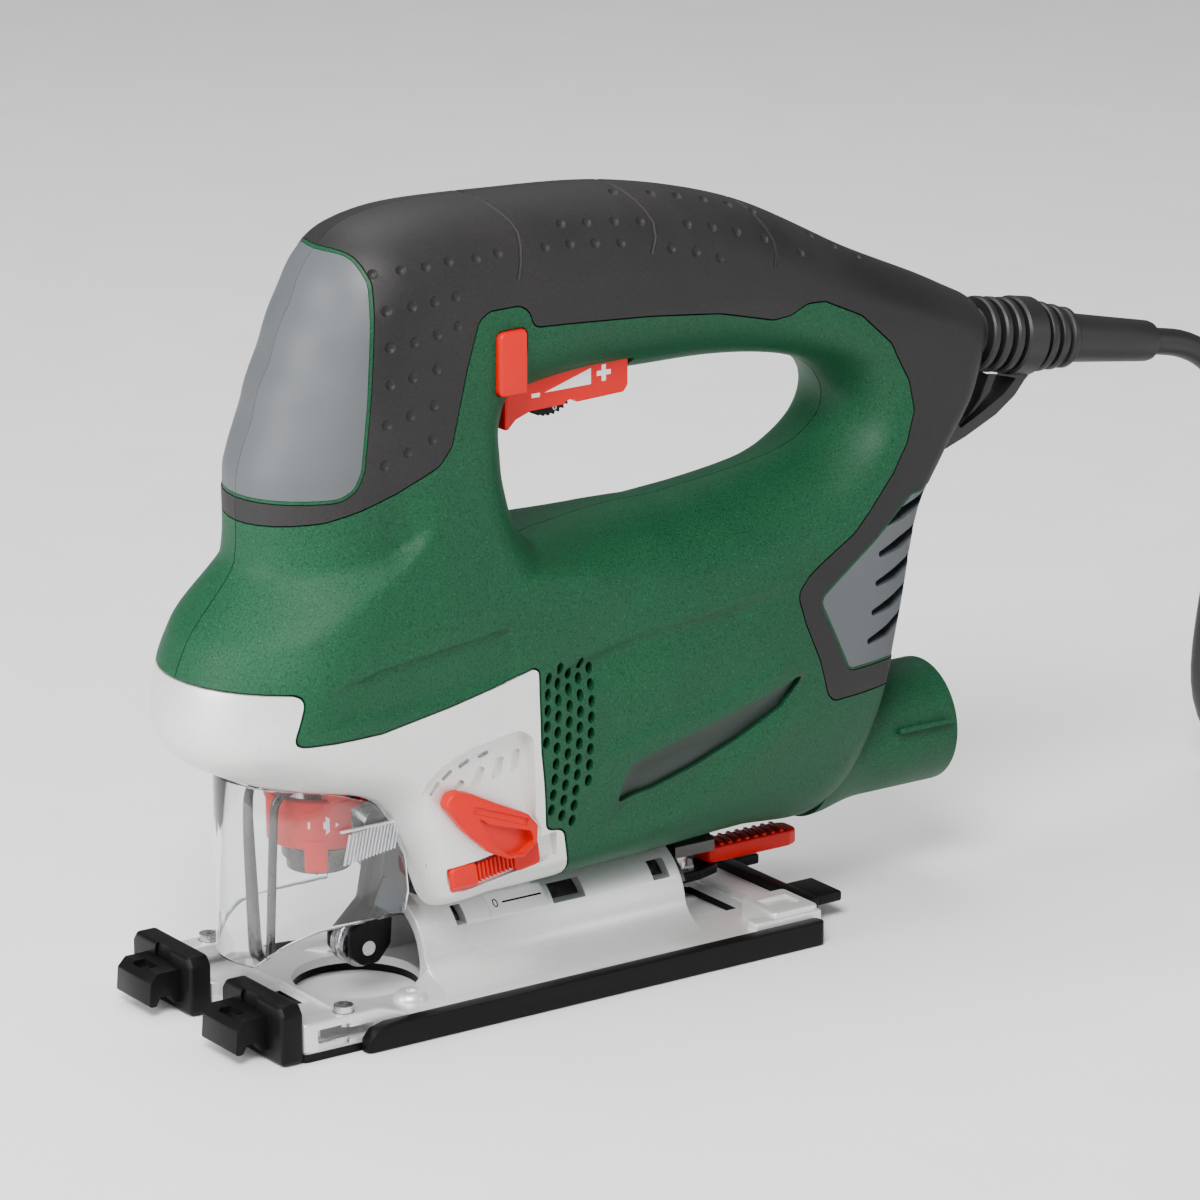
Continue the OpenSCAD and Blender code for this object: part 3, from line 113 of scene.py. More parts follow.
def mixOf(tree, share, first, second, blend):
    mix = tree.nodes.new("ShaderNodeMix")
    mix.data_type, mix.blend_type = "RGBA", blend
    for socket, value in zip((mix.inputs[0], mix.inputs[6], mix.inputs[7]), (share, first, second)):
        if isinstance(value, bpy.types.NodeSocket):
            tree.links.new(value, socket)
        else:
            socket.default_value = value if isinstance(value, float) else (*value, 1)
    return mix.outputs[2]


def rangeOf(tree, value, low, high):  # spreads the middle of a noise from low to high
    spread = tree.nodes.new("ShaderNodeMapRange")
    spread.inputs["From Min"].default_value = 0.3
    spread.inputs["From Max"].default_value = 0.7
    spread.inputs["To Min"].default_value = low
    spread.inputs["To Max"].default_value = high
    tree.links.new(value, spread.inputs["Value"])
    return spread.outputs["Result"]


def bumpOf(tree, shader, height, depth, strength=1.0):  # depth in mm
    bump = tree.nodes.new("ShaderNodeBump")
    bump.inputs["Strength"].default_value = strength
    bump.inputs["Distance"].default_value = depth * mm
    tree.links.new(height, bump.inputs["Height"])
    tree.links.new(bump.outputs["Normal"], shader.inputs["Normal"])


def shade(colour, factor):
    return tuple(min(1, c * factor) for c in colour)


def moulded(name, colour, fleck=0.12, fleckSize=0.35, mottle=0.06, gloss=(0.35, 0.45), texture=0.03,
            textureSize=0.5, coat=0.0, sparkle=0.0, level=0.5):  # plastic or rubber with a fine grain
    look, tree, shader, place = newFinish(name)
    fine = noiseOf(tree, place, fleckSize, 3)
    wide = noiseOf(tree, place, 38, 3)
    body = rampOf(tree, wide, [(0.3, shade(colour, 1 - mottle)), (0.7, shade(colour, 1 + mottle))])
    grained = rampOf(tree, fine, [(0.3, (1 - fleck,) * 3), (0.52, (1, 1, 1))])
    shown = mixOf(tree, 1.0, body, grained, "MULTIPLY")
    if sparkle:
        dots = noiseOf(tree, place, fleckSize * 0.8, 1)
        light = rampOf(tree, dots, [(0.6, (0, 0, 0)), (0.74, shade(colour, 1.5 + sparkle))])
        shown = mixOf(tree, sparkle, shown, light, "ADD")
    tree.links.new(shown, shader.inputs["Base Color"])
    tree.links.new(rangeOf(tree, wide, *gloss), shader.inputs["Roughness"])
    shader.inputs["Coat Weight"].default_value = coat
    shader.inputs["Coat Roughness"].default_value = 0.22
    shader.inputs["Specular IOR Level"].default_value = level
    bumpOf(tree, shader, noiseOf(tree, place, textureSize), texture)
    return look


def metal(name, colour, gloss=(0.25, 0.4), grain=0.6, depth=0.01, stretch=None, mottle=0.05, metallic=1.0,
          fleck=0.0):
    look, tree, shader, place = newFinish(name)
    wide = noiseOf(tree, place, 22, 3)
    fine = noiseOf(tree, place, grain, 3, stretch=stretch)
    body = rampOf(tree, wide, [(0.3, shade(colour, 1 - mottle)), (0.7, shade(colour, 1 + mottle))])
    if fleck:
        dust = rampOf(tree, fine, [(0.3, (1 - fleck,) * 3), (0.6, (1, 1, 1))])
        body = mixOf(tree, 1.0, body, dust, "MULTIPLY")
    tree.links.new(body, shader.inputs["Base Color"])
    tree.links.new(rangeOf(tree, fine, *gloss), shader.inputs["Roughness"])
    shader.inputs["Metallic"].default_value = metallic
    bumpOf(tree, shader, fine, depth)
    return look


def clearPlastic(name):  # clear moulding with faint flow lines
    look, tree, shader, place = newFinish(name)
    flow = noiseOf(tree, place, 9, 2, stretch=(1, 1, 0.35))
    tint = rampOf(tree, flow, [(0.3, (0.93, 0.95, 0.96)), (0.7, (1, 1, 1))])
    tree.links.new(tint, shader.inputs["Base Color"])
    tree.links.new(rangeOf(tree, flow, 0.015, 0.05), shader.inputs["Roughness"])
    shader.inputs["Transmission Weight"].default_value = 1.0
    shader.inputs["IOR"].default_value = 1.22
    shader.inputs["Coat Weight"].default_value = 0.9
    shader.inputs["Coat Roughness"].default_value = 0.04
    bumpOf(tree, shader, flow, 0.02, 0.3)
    return look


greenShell = moulded("greenShell", (0.005, 0.061, 0.025), fleck=0.5, fleckSize=0.55, mottle=0.1, gloss=(0.5, 0.6),
                     sparkle=0.4, level=0.24)
# painted shade: a darker copy of the shell green, laid on the floor of the side pocket
pocketShadeGreen = moulded("pocketShadeGreen", (0.004, 0.016, 0.01), fleck=0.3, gloss=(0.45, 0.55))
gripRubber = moulded("gripRubber", (0.0125, 0.0112, 0.0116), fleck=0.4, fleckSize=0.5, mottle=0.32,
                     gloss=(0.5, 0.66), texture=0.035, textureSize=0.35, level=0.36)
softGrey = moulded("softGrey", (0.078, 0.086, 0.094), fleck=0.08, mottle=0.05, gloss=(0.46, 0.56),
                   texture=0.02, level=0.45)
paintedCast = metal("paintedCast", (0.77, 0.77, 0.76), gloss=(0.34, 0.46), grain=0.35, depth=0.012,
                    metallic=0.4, mottle=0.03, fleck=0.16)
dieCast = metal("dieCast", (0.78, 0.78, 0.78), gloss=(0.32, 0.44), grain=0.5, depth=0.025, metallic=0.55,
                mottle=0.04, fleck=0.1)
redControl = moulded("redControl", (0.6, 0.003, 0.0005), fleck=0.05, mottle=0.05, gloss=(0.34, 0.44),
                     texture=0.012, level=0.24)
glossBlack = moulded("glossBlack", (0.004, 0.004, 0.004), fleck=0.2, mottle=0.1, gloss=(0.34, 0.46),
                     textureSize=0.8, level=0.13)
satinBlack = moulded("satinBlack", (0.012, 0.012, 0.012), fleck=0.25, mottle=0.1, gloss=(0.42, 0.55))
cordJacket = moulded("cordJacket", (0.008, 0.008, 0.008), fleck=0.2, mottle=0.1, gloss=(0.4, 0.55),
                     texture=0.02)
whitePrint = moulded("whitePrint", (0.8, 0.78, 0.8), fleck=0.03, mottle=0.03, gloss=(0.4, 0.5), texture=0.005)
brightSteel = metal("brightSteel", (0.62, 0.62, 0.63), gloss=(0.2, 0.34), stretch=(0.15, 1, 1))
darkSteel = metal("darkSteel", (0.075, 0.072, 0.07), gloss=(0.25, 0.4), metallic=0.85, depth=0.015)
turnedSteel = metal("turnedSteel", (0.5, 0.5, 0.52), gloss=(0.22, 0.36), grain=0.4, stretch=(1, 1, 0.1))
sinteredBronze = metal("sinteredBronze", (0.5, 0.3, 0.14), gloss=(0.35, 0.5), grain=0.3, depth=0.02)
copperWire = metal("copperWire", (0.62, 0.25, 0.12), gloss=(0.25, 0.4), grain=0.5, stretch=(8, 1, 1))
boardGreen = moulded("boardGreen", (0.01, 0.12, 0.04), fleck=0.1, gloss=(0.3, 0.4))
foilYellow = moulded("foilYellow", (0.6, 0.4, 0.04), fleck=0.05, gloss=(0.2, 0.3))
brushGraphite = moulded("brushGraphite", (0.02, 0.02, 0.022), fleck=0.3, gloss=(0.5, 0.7))
# pale finish of the work light lens, also laid on the clear comb teeth as painted highlight
paleLensAndGlint = moulded("paleLensAndGlint", (0.82, 0.86, 0.9), fleck=0.02, gloss=(0.08, 0.14), texture=0.004, coat=0.5)
hoodClear = clearPlastic("hoodClear")
paleFloor = moulded("paleFloor", (0.86, 0.86, 0.86), fleck=0.02, fleckSize=2, mottle=0.01, gloss=(0.6, 0.7),
                    texture=0.01, textureSize=3)
nodeFinish = {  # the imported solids, which also show inside the tool
    greenShell: "housing_left housing_right dust_tube",
    gripRubber: "grip_left grip_right cable_boot key_strap",
    softGrey: "front_pad_left front_pad_right rear_grille_left rear_grille_right",
    paintedCast: "gearbox_housing", dieCast: "base_plate",
    brightSteel: "gear_frame trigger_pin gear_axle front_bearing rear_bearing fork_pin "
                 "roller_pin gearbox_screws fence_screws clamp_bolt",
    darkSteel: "clamp_bracket finger_guard blade_clamp counterweight housing_screws stator",
    turnedSteel: "plunger drive_gear armature_shaft guide_roller",
    sinteredBronze: "plunger_bushes", copperWire: "field_coils commutator armature_core",
    satinBlack: "dust_duct cooling_fan brush_carrier switch_module cord_clamp plug roller_fork",
    glossBlack: "sliding_shoe speed_dial",
    cordJacket: "mains_leads cord_tube cord_coil",
    redControl: "trigger lock_button orbital_lever blower_switch release_lever clamp_lever",
    hoodClear: "chip_cover", boardGreen: "control_board", foilYellow: "capacitor",
    brushGraphite: "carbon_brushes", paleLensAndGlint: "work_light",
}
for look, names in nodeFinish.items():
    for name in names.split():
        mesh = cadNodes[name].data
        mesh.materials.clear()
        mesh.materials.append(look)
print("finishes ready")


# modelling helpers
def deselect():
    if bpy.context.object and bpy.context.object.mode != "OBJECT":
        bpy.ops.object.mode_set(mode="OBJECT")
    for obj in list(bpy.context.selected_objects):
        obj.select_set(False)


def pick(*objs):  # selects these, the first one active
    deselect()
    for obj in objs:
        obj.select_set(True)
    bpy.context.view_layer.objects.active = objs[0]


def applyPlace(obj):
    pick(obj)
    bpy.ops.object.transform_apply(location=True, rotation=True, scale=True)
    return obj


def painted(obj, look):
    obj.data.materials.clear()
    obj.data.materials.append(look)
    return obj


def meshOf(name, points, faces):  # points in mm
    mesh = bpy.data.meshes.new(name)
    mesh.from_pydata([Vector(p) * mm for p in points], [], faces)
    obj = bpy.data.objects.new(name, mesh)
    bpy.context.scene.collection.objects.link(obj)
    return obj


def outward(obj, weld=0):  # merges points closer than weld mm and turns every face outwards
    pick(obj)
    bpy.ops.object.mode_set(mode="EDIT")
    bpy.ops.mesh.select_all(action="SELECT")
    if weld:
        bpy.ops.mesh.remove_doubles(threshold=weld * mm)
    bpy.ops.mesh.normals_make_consistent(inside=False)
    bpy.ops.object.mode_set(mode="OBJECT")
    return obj


def modify(obj, kind, **settings):
    change = obj.modifiers.new(kind.lower(), kind)
    for key, value in settings.items():
        setattr(change, key, value)
    pick(obj)
    bpy.ops.object.modifier_apply(modifier=change.name)
    return obj


def boolean(obj, tool, how="DIFFERENCE", keep=False):
    spare = obj.data.copy()
    modify(obj, "BOOLEAN", operation=how, solver="MANIFOLD", object=tool)
    if obj.modifiers or not obj.data.vertices:  # the quick way refused, so the exact one is taken
        print("exact cut of", obj.name, "by", tool.name)
        obj.modifiers.clear()
        obj.data = spare
        modify(obj, "BOOLEAN", operation=how, solver="EXACT", object=tool)
    else:
        bpy.data.meshes.remove(spare)
    if not keep:
        bpy.data.objects.remove(tool)
    return obj


def cut(obj, *tools, keep=False):
    for tool in tools:
        boolean(obj, tool, keep=keep)
    return obj


def united(first, *others):
    for other in others:
        boolean(first, other, "UNION")
    return first


def joined(objs):
    pick(*objs)
    bpy.ops.object.join()
    return bpy.context.object


def soften(obj, width, steps=2, angle=32):
    return modify(obj, "BEVEL", width=width * mm, segments=steps, limit_method="ANGLE",
                  angle_limit=math.radians(angle), harden_normals=False)


def box(corner, opposite):
    low, high = (Vector([pickOne(a, b) for a, b in zip(corner, opposite)]) for pickOne in (min, max))
    deselect()
    bpy.ops.mesh.primitive_cube_add(size=1, location=(low + high) / 2 * mm)
    bpy.context.object.scale = (high - low) * mm
    return applyPlace(bpy.context.object)


def rod(start, end, radius, sides=32):
    start, end = Vector(start), Vector(end)
    deselect()
    bpy.ops.mesh.primitive_cylinder_add(vertices=sides, radius=radius * mm, depth=(end - start).length * mm,
                                        location=(start + end) / 2 * mm)
    obj = bpy.context.object
    obj.rotation_mode = "QUATERNION"
    obj.rotation_quaternion = (end - start).to_track_quat("Z", "Y")
    return applyPlace(obj)


def ball(radius):
    deselect()
    bpy.ops.mesh.primitive_ico_sphere_add(subdivisions=2, radius=radius * mm)
    return applyPlace(bpy.context.object)


def oblong(left, low, right, top):
    return [(left, low), (right, low), (right, top), (left, top)]


def rounded(points, radius, steps=4):  # fillets the corners of a closed outline
    out = []
    count = len(points)
    for i, p in enumerate(points):
        p = Vector(p)
        before, after = Vector(points[i - 1]) - p, Vector(points[(i + 1) % count]) - p
        turn = before.angle(after)
        reach = min(radius / max(math.tan(turn / 2), 0.05), before.length * 0.45, after.length * 0.45)
        start, end = p + before.normalized() * reach, p + after.normalized() * reach
        for s in range(steps + 1):
            t = s / steps
            out.append(start * (1 - t) ** 2 + p * 2 * t * (1 - t) + end * t ** 2)
    return out


def grown(points, by):  # moves a closed outline outwards by a distance
    count = len(points)
    area = sum(points[i - 1][0] * points[i][1] - points[i][0] * points[i - 1][1] for i in range(count))
    side = 1 if area > 0 else -1
    out = []
    for i in range(count):
        p = Vector(points[i])
        u = (p - Vector(points[i - 1])).normalized()
        v = (Vector(points[(i + 1) % count]) - p).normalized()
        n1, n2 = Vector((u.y, -u.x)) * side, Vector((v.y, -v.x)) * side
        n = n1 + n2
        out.append(p + n / max(n.length_squared / 2, 0.3) * by)
    return out


def plate(outline, low, high, axis="Y"):  # an outline drawn across an axis and pushed along it
    low, high = min(low, high), max(low, high)
    at = "XYZ".index(axis)
    way = Vector([i == at for i in range(3)])
    points = [(*p[:at], low, *p[at:]) for p in (tuple(p) for p in outline)]
    obj = meshOf("plate", points, [list(range(len(points)))])
    pick(obj)
    bpy.ops.object.mode_set(mode="EDIT")
    bpy.ops.mesh.select_all(action="SELECT")
    bpy.ops.mesh.extrude_region_move(TRANSFORM_OT_translate={"value": way * (high - low) * mm})
    return outward(obj)


def slab(outline, radius, low, high, axis="Y", steps=4):  # a plate with rounded corners
    return plate(rounded(outline, radius, steps), low, high, axis)


def copyOf(obj):
    twin = obj.copy()
    twin.data = obj.data.copy()
    bpy.context.scene.collection.objects.link(twin)
    return twin


def turned(obj, degrees, axis, centre=(0, 0, 0)):
    centre = Vector(centre) * mm
    obj.data.transform(Matrix.Translation(centre) @ Matrix.Rotation(math.radians(degrees), 4, axis)
                       @ Matrix.Translation(-centre))
    return obj


def moved(obj, by):
    obj.data.transform(Matrix.Translation(Vector(by) * mm))
    return obj


def tube(points, radius, sides=8, closed=False):
    curve = bpy.data.curves.new("tube", "CURVE")
    curve.dimensions = "3D"
    curve.bevel_depth, curve.bevel_resolution, curve.use_fill_caps = radius * mm, sides // 4, True
    spline = curve.splines.new("POLY")
    spline.points.add(len(points) - 1)
    for knot, p in zip(spline.points, points):
        knot.co = (*(Vector(p) * mm), 1)
    spline.use_cyclic_u = closed
    obj = bpy.data.objects.new("tube", curve)
    bpy.context.scene.collection.objects.link(obj)
    pick(obj)
    bpy.ops.object.convert(target="MESH")
    return outward(bpy.context.object, 0.002)


def spun(profile, start, along, steps=48):  # turns a profile of (distance along, radius) round an axis
    start, along = Vector(start), Vector(along).normalized()
    side = along.orthogonal().normalized()
    obj = meshOf("spun", [start + along * d + side * r for d, r in profile], [])
    mesh = obj.data
    mesh.edges.add(len(profile) - 1)
    for i in range(len(profile) - 1):
        mesh.edges[i].vertices = (i, i + 1)
    mesh.update()
    pick(obj)
    bpy.ops.object.mode_set(mode="EDIT")
    bpy.ops.mesh.select_all(action="SELECT")
    bpy.ops.mesh.spin(steps=steps, angle=2 * math.pi, center=start * mm, axis=along, dupli=False)
    return outward(obj, 0.01)


def between(a, b, c, d, t):  # a smooth curve from b to c
    return 0.5 * (2 * b + (c - a) * t + (2 * a - 5 * b + 4 * c - d) * t * t + (3 * b - a - 3 * c + d) * t ** 3)


def smoothLine(knots, steps):  # through the knots, in so many steps from each to the next
    line = []
    for i in range(len(knots) - 1):
        near = [Vector(knots[min(max(i + k, 0), len(knots) - 1)]) for k in (-1, 0, 1, 2)]
        line += [between(*near, s / steps) for s in range(steps)]
    return line + [Vector(knots[-1])]


def handIn(obj, look, name, body, nodes=(), angle=32):  # finish, name and body of a made piece
    painted(obj, look)
    obj.name = name
    obj.data.name = name
    pick(obj)
    bpy.ops.object.shade_smooth_by_angle(angle=math.radians(angle))
    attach(obj, body)
    if nodes:
        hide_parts(*nodes)
    return obj


floorPiece = soften(painted(box((-3000, -3000, -20), (3600, 4200, -0.2)), paleFloor), 8, 3)
floorPiece.name = "floor"

# mains cord: down from the boot, along the floor and into a coil of six and a half turns
mainsCord = {"thick": 7.8, "centre": (324, -27), "inner": 37.1, "outer": 44.9, "exit": (229.02, 0, 139.2),
             "fall": [(233.95, 0, 138.35), (239.8, 0, 137.1), (246, 0, 134.6), (251.9, 0, 130.7), (257.2, 0, 125.4),
                      (261.4, 0.1, 118.4), (263.8, 0.5, 110.6), (264.5, 1.6, 101), (264.6, 3.6, 88),
                      (264.6, 6.2, 74), (264.7, 9, 60), (265, 11.8, 46), (266, 14.2, 33.5), (268.6, 16, 23),
                      (273.4, 17.2, 14), (280, 17.8, 7.9), (288, 17.9, 4.7), (296, 17.9, 3.9), (305, 17.9, 3.9),
                      (314, 17.9, 3.9)],
             "risesAt": (530, 890, 1250), "fallsAt": (1830, 2190)}  # where a turn climbs on, or drops off, the last


def ease(t):
    t = min(max(t, 0), 1)
    return t * t * (3 - 2 * t)


def coilPoint(turn):  # turn in degrees, clockwise from the top of the circle
    thick, inner, outer = mainsCord["thick"], mainsCord["inner"], mainsCord["outer"]
    radius = outer - (outer - inner) * (ease((turn - 200) / 150) - ease((turn - 1500) / 150))
    up = sum(ease((turn - start) / 100) for start in mainsCord["risesAt"]) \
        - sum(ease((turn - start) / 100) for start in mainsCord["fallsAt"])
    angle = math.radians(90 - turn)
    cx, cy = mainsCord["centre"]
    return (cx + radius * math.cos(angle), cy + radius * math.sin(angle), thick * (0.5 + up))


plugAt = (284, -71.9, 13)  # where the cord enters the plug
plugY = plugAt[1]
route = [mainsCord["exit"]] + mainsCord["fall"] + [coilPoint(t) for t in range(0, 2341, 15)]
route += [(314, plugY, 11.75), (304, plugY, 12), (294, plugY, 12.6), (286, plugY, 13), plugAt]
steps = smoothLine(route, 2)
cordPiece = tube(steps, mainsCord["thick"] / 2, 24)
handIn(cordPiece, cordJacket, "mainsCord", "housing", ["cord_tube", "cord_coil"], 60)

# body skin: a closed loft through ribs set round the hand opening
shape = {"under": 158.2, "top": 211, "saddle": 121.6, "floor": 24.2, "nose": -92.6,
         "handle": 20.5, "column": 26, "body": 34, "tail": 22, "stepsPerRib": 10, "corner": 9, "middle": 62}
under, top, saddle, low0, nose = (shape[k] for k in ("under", "top", "saddle", "floor", "nose"))
hw, cw, bw, tw = (shape[k] for k in ("handle", "column", "body", "tail"))
ribs = [  # inner point, outer point, half widths, corner depths
    (50, under, 46, top - 3, hw - 2, hw, hw - 0.5, 19, 21),
    (24, under, 8, top - 0.3, hw - 1.5, hw + 1, hw + 0.5, 19, 22),
    (6, under - 2, -30, top - 0.6, hw, hw + 3, hw + 2.5, 18, 23),
    (1.5, under - 9, -49, top - 9.6, cw - 5, cw - 1, cw - 1.5, 18, 24),
    (2, under - 17, -62.5, top - 36, cw - 4, cw, cw - 0.5, 17, 26),
    (3, 135, -72, 148, cw - 3, cw + 0.7, cw, 16, 27), (5.5, 126, -77, 125, cw - 1, cw + 4, cw + 3, 17, 31),
    (12, saddle - 3.4, nose + 5.5, 106, bw - 8, bw - 1, bw - 2, 18, 34),
    (19, saddle - 2.8, nose, 91, bw - 7, bw, bw - 1, 20, 34),
    (26, saddle - 1.9, nose + 1.2, 75.5, bw - 6, bw, bw - 1, 22, 33),
    (32, saddle - 1.1, -72, 64.5, bw - 6, bw, bw - 4, 24, 22),
    (37, saddle - 0.6, -46, 57, bw - 6, bw, bw - 6, 24, 13),
    (41, saddle - 0.3, -37, 41, bw - 6, bw - 0.5, bw - 8, 24, 12),
    (45, saddle, -29, low0 + 0.6, bw - 6, bw - 1, bw - 9, 24, 12),
    (50, saddle, -10, low0, bw - 6, bw - 1, bw - 9.5, 24, 12),
    (56, saddle, 20, low0, bw - 6, bw, bw - 9.5, 24, 13),
    (64, saddle + 0.8, 50, low0, bw - 6.5, bw - 0.5, bw - 11, 24, 15),
    (74, saddle + 1.8, 80, low0, bw - 7.5, bw - 2, bw - 15, 23, 18),
    (86, saddle + 3.4, 107, low0 + 0.3, bw - 9, bw - 5, bw - 16, 21, 17.6),
    (95, saddle + 5, 121, 44, bw - 9.5, bw - 6, bw - 15, 19, 16),
    (103, saddle + 7.4, 127.5, 72, tw + 2, tw + 5, tw, 16, 15),
    (109.5, saddle + 11.4, 136, 103, tw + 1, tw + 2.5, tw - 1, 14, 13),
    (113, 137.5, 148.5, 121, tw, tw + 1, tw - 3, 13, 15),
    (113, 143.5, 161.5, 139, tw - 0.5, tw, tw - 7, 14, 15),
    (108.5, 149.5, 164.5, 158, tw - 1, tw - 0.7, tw - 8.5, 15, 15),
    (100, under - 4.4, 150, 167.8, hw, hw + 1, hw - 3.5, 17, 19),
    (87, under - 1.6, 120, 181, hw - 0.5, hw + 0.5, hw - 1, 18, 20),
    (70, under - 0.2, 83, 198.8, hw - 1.5, hw, hw - 0.5, 19, 20)]
silverZone = [(-110, 95.5), (-71.5, 95.5), (-75, 81.5), (-50, 82), (-30, 85.5), (-16, 88.5), (-4, 91.5),
              (-2.5, 90.5), (-1, 68), (2.5, 45), (8, 44.5), (12, 30), (13, 10), (-110, 10)]
blackZone = [(-110, 133), (-80, 133.5), (-60, 136.5), (-40, 142), (-27.5, 147.5), (-23.5, 152), (-18, 171),
             (-13.5, 183), (-10, 185), (0, 185), (3, 183), (4.5, 178.6), (14, 178), (42, 176), (65, 173.5),
             (83, 169.2), (88, 170), (93, 172.6), (99, 172.4), (111, 167), (121, 158), (127, 147),
             (128.5, 138.5), (125.5, 130), (120, 122.5), (105, 108.5), (89, 99.5), (84.5, 95.5), (87, 87),
             (92, 76), (95, 66), (97.5, 63.5), (180, 63.5), (180, 230), (-110, 230)]
grilleZone = [(180, 116.5), (126.5, 116.5), (110, 105), (92, 92.5), (102.5, 70.8), (180, 70.8)]
padZone = [(-110, 203), (-44, 203), (-42.5, 196), (-44.5, 182), (-46.5, 168), (-49.5, 149), (-51.5, 144),
           (-56, 141.6), (-110, 138.5)]


def edgeRise(q):
    return 1 if q >= 1 else math.sqrt(max(1 - (1 - q) ** 2, 0))


def ribWidth(a, b, c, s):
    return a + (b - a) * math.sin(math.pi * s) if s < 0.5 else c + (b - c) * math.sin(math.pi * s)


def skinLoft(inset):  # closed loft so deep below the surface
    n, middle, stepsPerRib = shape["corner"], shape["middle"], shape["stepsPerRib"]
    points, faces, ringSize = [], [], 0
    rings = len(ribs) * stepsPerRib
    for k in range(rings):
        i, t = k // stepsPerRib, k % stepsPerRib / stepsPerRib
        r = [between(*(ribs[(i + j) % len(ribs)][c] for j in (-1, 0, 1, 2)), t) for c in range(9)]
        p, q = Vector((r[0], r[1])), Vector((r[2], r[3]))
        u = (q - p).normalized()
        length = (q - p).length - 2 * inset
        start = p + u * inset
        inner, outer = max(r[7] - inset, 2), max(r[8] - inset, 2)
        along = [inner * (1 - math.cos(math.pi / 2 * j / n)) for j in range(n + 1)]
        ends = [length - outer * (1 - math.sin(math.pi / 2 * j / n)) for j in range(n + 1)]
        gap = (ends[0] - along[-1]) / (middle + 1)
        along += [along[-1] + gap * (j + 1) for j in range(middle)] + ends
        ring = []
        for s in along:
            half = (ribWidth(r[4], r[5], r[6], s / length) - inset) * edgeRise(s / inner) \
                * edgeRise((length - s) / outer)
            ring.append((start.x + u.x * s, half, start.y + u.y * s))
        ring = [(x, -y, z) for x, y, z in ring] + ring[-2:0:-1]
        ringSize = len(ring)
        points += ring
    for k in range(rings):
        for j in range(ringSize):
            a, b = k * ringSize, (k + 1) % rings * ringSize
            j2 = (j + 1) % ringSize
            faces.append((a + j, a + j2, b + j2, b + j))
    return outward(meshOf("skin", points, faces))


def pushed(obj, relief):  # moves each point along its normal by relief(points, normals) in mm
    mesh = obj.data
    count = len(mesh.vertices)
    place, normal = np.empty(count * 3, np.float32), np.empty(count * 3, np.float32)
    mesh.vertices.foreach_get("co", place)
    mesh.vertex_normals.foreach_get("vector", normal)
    place, normal = place.reshape(-1, 3) * 1000, normal.reshape(-1, 3)
    place += normal * relief(place, normal)[:, None]
    mesh.vertices.foreach_set("co", (place * mm).ravel())
    mesh.update()
    return obj


def easeAll(t):
    t = np.clip(t, 0, 1)
    return t * t * (3 - 2 * t)


def heightAt(x, line):  # height of a line drawn along the side
    return np.interp(x, [p[0] for p in line], [p[1] for p in line])


def insideBy(x, z, outline):  # distance into a closed outline, negative outside
    best = np.full(x.shape, 1e9)
    inside = np.zeros(x.shape, bool)
    for (x1, z1), (x2, z2) in zip(outline, outline[1:] + outline[:1]):
        dx, dz = x2 - x1, z2 - z1
        t = np.clip(((x - x1) * dx + (z - z1) * dz) / (dx * dx + dz * dz), 0, 1)
        best = np.minimum(best, np.hypot(x - x1 - t * dx, z - z1 - t * dz))
        if dz:
            inside ^= ((z1 > z) != (z2 > z)) & (x < x1 + (z - z1) * dx / dz)
    return np.where(inside, best, -best)


relief = {  # soft creases, ledges and sunk places of the sides
    "collarTop": [(-95, 129), (-90, 127), (-82, 124.5), (-72, 123.5), (-62, 124.3), (-52, 125.7), (-42, 128),
                  (-33, 130.5), (-24, 134)],
    "collarLow": [(-95, 103.8), (-90, 104.5), (-80, 106), (-70, 108.5), (-60.5, 112.4), (-50, 118), (-40, 124),
                  (-30, 131), (-24, 135)],
    "ledge": [(-6, 87), (12, 90.5), (32, 94.3), (52, 96), (64, 97), (84, 99)],
    "lowLedge": [(16, 62), (31, 67), (51, 69.5), (62, 72.5), (78, 78)],
    "panel": [(-62, 97.2), (-52, 99.2), (-40, 100.8), (-11, 103.9), (-8.5, 100), (-9, 90.4), (-26, 87.4),
              (-46, 86.2), (-63, 87)],
    "pocketDish": [(18, 40), (22, 50), (28, 60.5), (42, 64), (57, 66.5), (71, 70), (88, 76), (92, 72), (80, 60),
                   (60, 46), (40, 38)],
    "collarDepth": 4.2, "ledgeDepth": 1.7, "ridgeHeight": 1.0, "panelDepth": 1.4, "dishDepth": 2.2}


def sideRelief(at, normal):
    x, z = at[:, 0], at[:, 2]
    sideways = easeAll((np.abs(normal[:, 1]) - 0.25) / 0.5)
    up, low = heightAt(x, relief["collarTop"]), heightAt(x, relief["collarLow"])
    band = np.clip((z - low) / np.maximum(up - low, 3), 0, 1) * (1 - np.clip((z - up) / 23, 0, 1))
    out = -relief["collarDepth"] * band * easeAll((-27 - x) / 16)
    drop = heightAt(x, relief["ledge"]) - z
    ledge = easeAll((drop + 1.2) / 3.2) * (1 - easeAll((drop - 2.4) / 9)) * easeAll((x + 4) / 14) \
        * easeAll((90 - x) / 30)
    out -= sideways * relief["ledgeDepth"] * ledge
    line = heightAt(x, relief["lowLedge"])
    ridge = easeAll((z - line + 8) / 8) * (1 - easeAll((z - line) / 2.6)) * easeAll((x - 12) / 16) \
        * easeAll((86 - x) / 12)
    out += sideways * relief["ridgeHeight"] * ridge
    out -= sideways * relief["panelDepth"] * easeAll(insideBy(x, z, relief["panel"]) / 1.2)
    out -= sideways * relief["dishDepth"] * easeAll(insideBy(x, z, relief["pocketDish"]) / 9)
    return out


def lowered(obj, depth):
    return pushed(obj, lambda at, normal: np.full(len(at), -depth, np.float32))


